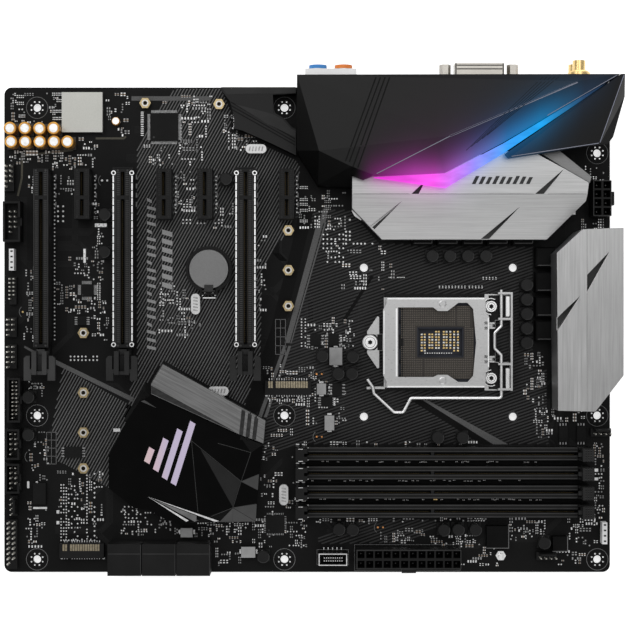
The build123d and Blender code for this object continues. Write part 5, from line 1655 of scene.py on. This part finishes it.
def bar_slots():
    """Painted shade on the floors of the three slots at the bar's right end, on bands beside them and on
    a long wedge along the bar.
    """
    dark, bands = Pile(), Pile()
    for left in (121.0, 124.2, 127.4):
        dark.prism([(left + 0.1, 162.4), (left + 0.9, 162.8), (left - 1.0, 176.6),
                    (left - 1.8, 176.3)], 11.6, 11.66)
    for centre, rear, front in ((120.5, 161.8, 173.9), (123.7, 163.5, 175.0), (126.9, 165.3, 176.1)):
        bands.prism([(centre + 1.45, rear + 0.5), (centre - 0.45, rear - 0.5),
                     (centre - 1.7, front - 0.4), (centre + 0.2, front + 0.3)],
                    BAR_TOP, BAR_TOP + 0.03)
    bands.prism([(75.3, 149.4), (118.6, 173.2), (75.5, 153.4)], BAR_TOP, BAR_TOP + 0.03)
    bands.make("bar_shaded_bands", M["dark_metal"])
    dark.make("bar_slot_shade", M["deep"])


CREST, CREST_REAR, FOOT, CORNER = (119.7, 197.1), (95.0, 177.0), (115.6, 210.2), (127.0, 217.3)


def facet_lines():
    """Painted highlights along the lit edges between the chipset cover's facets, and painted light on the
    facets that catch it, one of them half lit.
    """
    edges, pale, middle = Pile(), Pile(), Pile()
    for first, lasts in ((CREST_REAR, ((94.6, 166.4), (82.1, 181.5), CREST, (98.2, 212.4))),
                         (CREST, ((124.6, 182.8), FOOT, (128.2, 193.8), (127.6, 201.4))),
                         (FOOT, ((127.0, 208.5), (104.6, 214.6), (115.4, 217.0))),
                         ((124.6, 182.8), ((108.0, 178.2),))):
        for last in lasts:
            draped_line(edges, "chipset_cover", first, last, 0.20, 0.02, 30)
    for corners in ([CREST, (128.6, 193.6), (128.0, 201.6)], [FOOT, (127.5, 208.5), CORNER],
                    [FOOT, CORNER, (108.6, 217.5)]):
        draped_facet(pale, "chipset_cover", corners, 0.015)
    draped_facet(middle, "chipset_cover", [(99.0, 180.6), CREST, FOOT], 0.015)
    edges.make("chipset_facet_highlights", M["painted_facet_highlight"])
    pale.make("chipset_painted_lit_facets", M["painted_lit_facet"])
    middle.make("chipset_painted_half_lit_facet", M["painted_half_lit_facet"])


def battery_detail():
    """Rim step of the coin cell, and the tabs of its clip."""
    rim = Pile()
    rim.arc(103.2, 91.6, 9.2, 0.25, 4.9, 4.95, sides=60)
    rim.make("cell_rim", M["cell_rim"])
    tab = Pile()
    tab.line([(99.8, 104.8), (101.4, 103.4)], 0.5, 0.0, 3.0)
    tab.line([(106.6, 104.8), (105.0, 103.4)], 0.5, 0.0, 3.0)
    tab.box(100.0, 106.4, 105.6, 106.2, 0.0, 1.6)
    tab.make("cell_clip_tabs", M["wire"])


def rear_ring(pile, left, height, inner, outer, near, far, sides=28):
    """A ring that faces rearwards, made of short closed blocks, from one depth to another."""
    for i in range(sides):
        a, b = (2 * math.pi * (i + k) / sides for k in (0, 1))
        plan = [(left + r * math.cos(t), height + r * math.sin(t))
                for r, t in ((inner, a), (outer, a), (outer, b), (inner, b))]
        pile.solid([place(x, near, z) for x, z in plan], [place(x, far, z) for x, z in plan])


JACKS = {(157.8, 27.0): "blue", (170.2, 27.0): "orange", (157.8, 16.6): "green",
         (170.2, 16.6): "black", (157.8, 6.2): "pink"}


def rear_port_detail():
    """Coloured caps, tongues and pins of the rear connectors."""
    for (left, height), colour in JACKS.items():
        cap = Pile()
        rear_ring(cap, left, height, 4.18, 4.3, -4.9, -6.65)
        rear_ring(cap, left, height, 2.1, 4.3, -6.55, -6.65)
        cap.make(f"jack_cap_{int(left)}_{int(height)}", M[colour])
    pins = Pile()
    corners = ((-0.3, -0.3), (0.3, -0.3), (0.3, 0.3), (-0.3, 0.3))
    for i in range(8):
        for j in range(3):
            x, z = 228.1 + i * 2.4, 19.4 + j * 2.0
            pins.solid(*([place(x + dx, rear, z + dz) for dx, dz in corners] for rear in (-3.5, -4.1)))
    for i in range(8):
        x = 183.4 + i * 1.15
        pins.box(x, x + 0.4, -0.6, 7.6, 26.2, 26.6)
    pins.make("rear_port_contacts", M["gold"])
    seams = Pile()
    for rear in (-7.4, -5.6, -1.6):
        seams.box(225.4, 247.6, rear, rear + 0.5, 25.6, 25.64)
    for left in (224.7, 247.7):
        seams.box(left, left + 0.6, -8.0, -0.6, 25.6, 25.64)
    seams.make("video_shell_seams", M["shade"])
    tongues = Pile()
    for left, right in ((182.4, 192.8), (201.4, 210.6)):
        for low in (4.3, 11.5):
            tongues.box(left, right, -0.9, -0.8, low + 0.05, low + 1.55)
    tongues.make("port_tongues", M["blue"])


TAIL_TIP = 0.35          # a tail's end, as a share of its width at the board


def underside_solder():
    """Cut and soldered tails of the through-hole parts, on the underside."""
    tails = Pile()

    def tail(left, rear, radius):
        tails.disc(left, rear, radius * TAIL_TIP, -THICKNESS - 1.3, -THICKNESS, 6, 1 / TAIL_TIP)

    for i in range(4):
        rear = FIRST_DIMM + i * DIMM_PITCH
        for row, shift in enumerate((-3.0, -1.0, 1.0, 3.0)):
            left = 153.0 + 0.5 * (row % 2)
            while left < 286.0:
                tail(left, rear + shift, 0.42)
                left += 1.9
    for position in LONG_SLOTS + SHORT_SLOTS:
        for side in (-2.6, -1.3, 1.3, 2.6):
            first = SLOT_REAR + (3.5 if abs(side) > 2 else 2.5)
            for i in range(int((slot_length(position) - 4) / 2)):
                tail(position * SLOT_PITCH + side, first + i * 2.0, 0.42)
    for i in range(12):
        for rear in (233.2, 238.0):
            tail(177.0 + 51.8 * (i + 0.5) / 12, rear, 0.9)
    for j in range(4):
        for left in (296.4, 301.0):
            tail(left, 47.8 + 17.6 * (j + 0.5) / 4, 0.9)
    for name in ("capacitors", "audio_capacitors", "power_chokes"):
        for x, y in middles(name):
            tail(x - 1.25, y, 0.7)
            tail(x + 1.25, y, 0.7)
    for left, rear, rows in ((1.9, 40.0, 5), (4.0, 62.8, 5), (2.9, 116.8, 4), (2.9, 130.4, 5),
                             (5.3, 148.0, 10), (4.3, 173.9, 5), (4.3, 190.9, 5), (3.2, 218.4, 9)):
        for i in range(2):
            for j in range(rows):
                tail(left + i * 2.5, rear + j * 2.4, 0.5)
    for left in range(154, 278, 4):
        for rear in (4.0, 8.0, 12.0):
            tail(left, rear, 0.6)
    for left in (56.0, 60.0, 64.0, 68.0, 73.0, 77.0, 81.0, 85.0, 90.0, 94.0, 98.0, 102.0):
        for rear in (230.0, 234.0):
            tail(left, rear, 0.5)
    tails.make("underside_solder", M["solder"])

    parts = Pile()
    ends = Pile()
    rng = random.Random(5)
    for _ in range(420):
        left, rear = rng.uniform(6, 298), rng.uniform(20, 238)
        if min(math.hypot(left - x, rear - y) for x, y in CASE_HOLES) < 7:
            continue
        if 176 < left < 256 and 100 < rear < 156 and not (206 < left < 232 and 118 < rear < 139):
            continue
        turn = rng.choice((0, 90))
        parts.slab(left, rear, 0.9, 0.7, -THICKNESS - 0.5, -THICKNESS, turn)
        c, d = (0.62, 0.0) if turn == 0 else (0.0, 0.62)
        for side in (-1, 1):
            ends.slab(left + side * c, rear + side * d, 0.35, 0.75, -THICKNESS - 0.48, -THICKNESS, turn)
    parts.make("underside_parts", M["ceramic"])
    ends.make("underside_part_ends", M["solder"])


# ---------------------------------------------------------------- stage
LAMPS = (("key", (-0.65, 0.60, 1.00), 0.8, 4.6), ("top", (0.20, 0.40, 1.25), 0.8, 3.2),
         ("fill", (0.15, -1.00, 0.90), 0.7, 2.0))
LAMP_AIM = Vector((0.0, -0.1, 0.0))
FLOOR_REACH = 12.0


def stage():
    """A pale floor, even white surroundings and three soft lamps."""
    floor = bpy.data.meshes.new("floor")
    corners = [(-1, -1), (1, -1), (1, 1), (-1, 1)]
    floor.from_pydata([(x * FLOOR_REACH, y * FLOOR_REACH, CAD_BOX[0].z) for x, y in corners],
                      [], [(0, 1, 2, 3)])
    n = Nodes("pale_floor")
    n.put("Base Color", n.ramp(n.noise(3.0), [(0.3, grey(0.90)), (0.7, grey(0.93))]))
    n.put("Roughness", 0.9)
    n.put("Emission Color", (1.0, 1.0, 1.0, 1.0))
    n.put("Emission Strength", 0.62)
    floor.materials.append(n.material)
    ground = bpy.data.objects.new("floor", floor)
    bpy.context.scene.collection.objects.link(ground)

    world = bpy.data.worlds.new("studio")
    world.use_nodes = True
    background = world.node_tree.nodes["Background"]
    background.inputs[0].default_value = (1.0, 1.0, 1.0, 1.0)
    background.inputs[1].default_value = 0.50
    bpy.context.scene.world = world

    for name, at, size, power in LAMPS:
        lamp = bpy.data.lights.new(name, "AREA")
        lamp.shape = "SQUARE"
        lamp.size = size
        lamp.energy = power
        holder = bpy.data.objects.new(name, lamp)
        bpy.context.scene.collection.objects.link(holder)
        holder.location = at
        holder.rotation_euler = (LAMP_AIM - Vector(at)).to_track_quat("-Z", "Y").to_euler()


VIEW_LEFT, VIEW_REAR, VIEW_HEIGHT = 156.37, 114.5, 785.0
VIEW_WIDTH = 317.1       # millimetres of the board's plane across the picture


def camera():
    """The photograph's view, from straight above."""
    lens = bpy.data.cameras.new("camera")
    lens.sensor_width = 36.0
    lens.lens = lens.sensor_width * VIEW_HEIGHT / VIEW_WIDTH
    lens.clip_end = 10.0
    holder = bpy.data.objects.new("camera", lens)
    bpy.context.scene.collection.objects.link(holder)
    holder.location = place(VIEW_LEFT, VIEW_REAR, VIEW_HEIGHT)
    bpy.context.scene.camera = holder
    bpy.context.scene.view_settings.view_transform = "Standard"


for step in (dress_nodes, artwork, printed_outlines, traces, small_parts, hole_vias, slot_ribs,
             slot_solder, memory_slot_detail, latch_ribs, socket_detail, plate_detail, header_pins,
             power_pins, front_header_detail, light_header_pin_shade, card_socket_detail, front_button,
             chip_legs, can_tops, standoff_detail, choke_detail, crystal_lids, drive_port_edges,
             chipset_mark, chipset_trim, bridge_detail, heatsink_grooves, bar_slots, facet_lines,
             seam_shade_and_lit_sliver, cover_engraving, battery_detail, rear_port_detail, underside_solder, stage,
             camera):
    step()
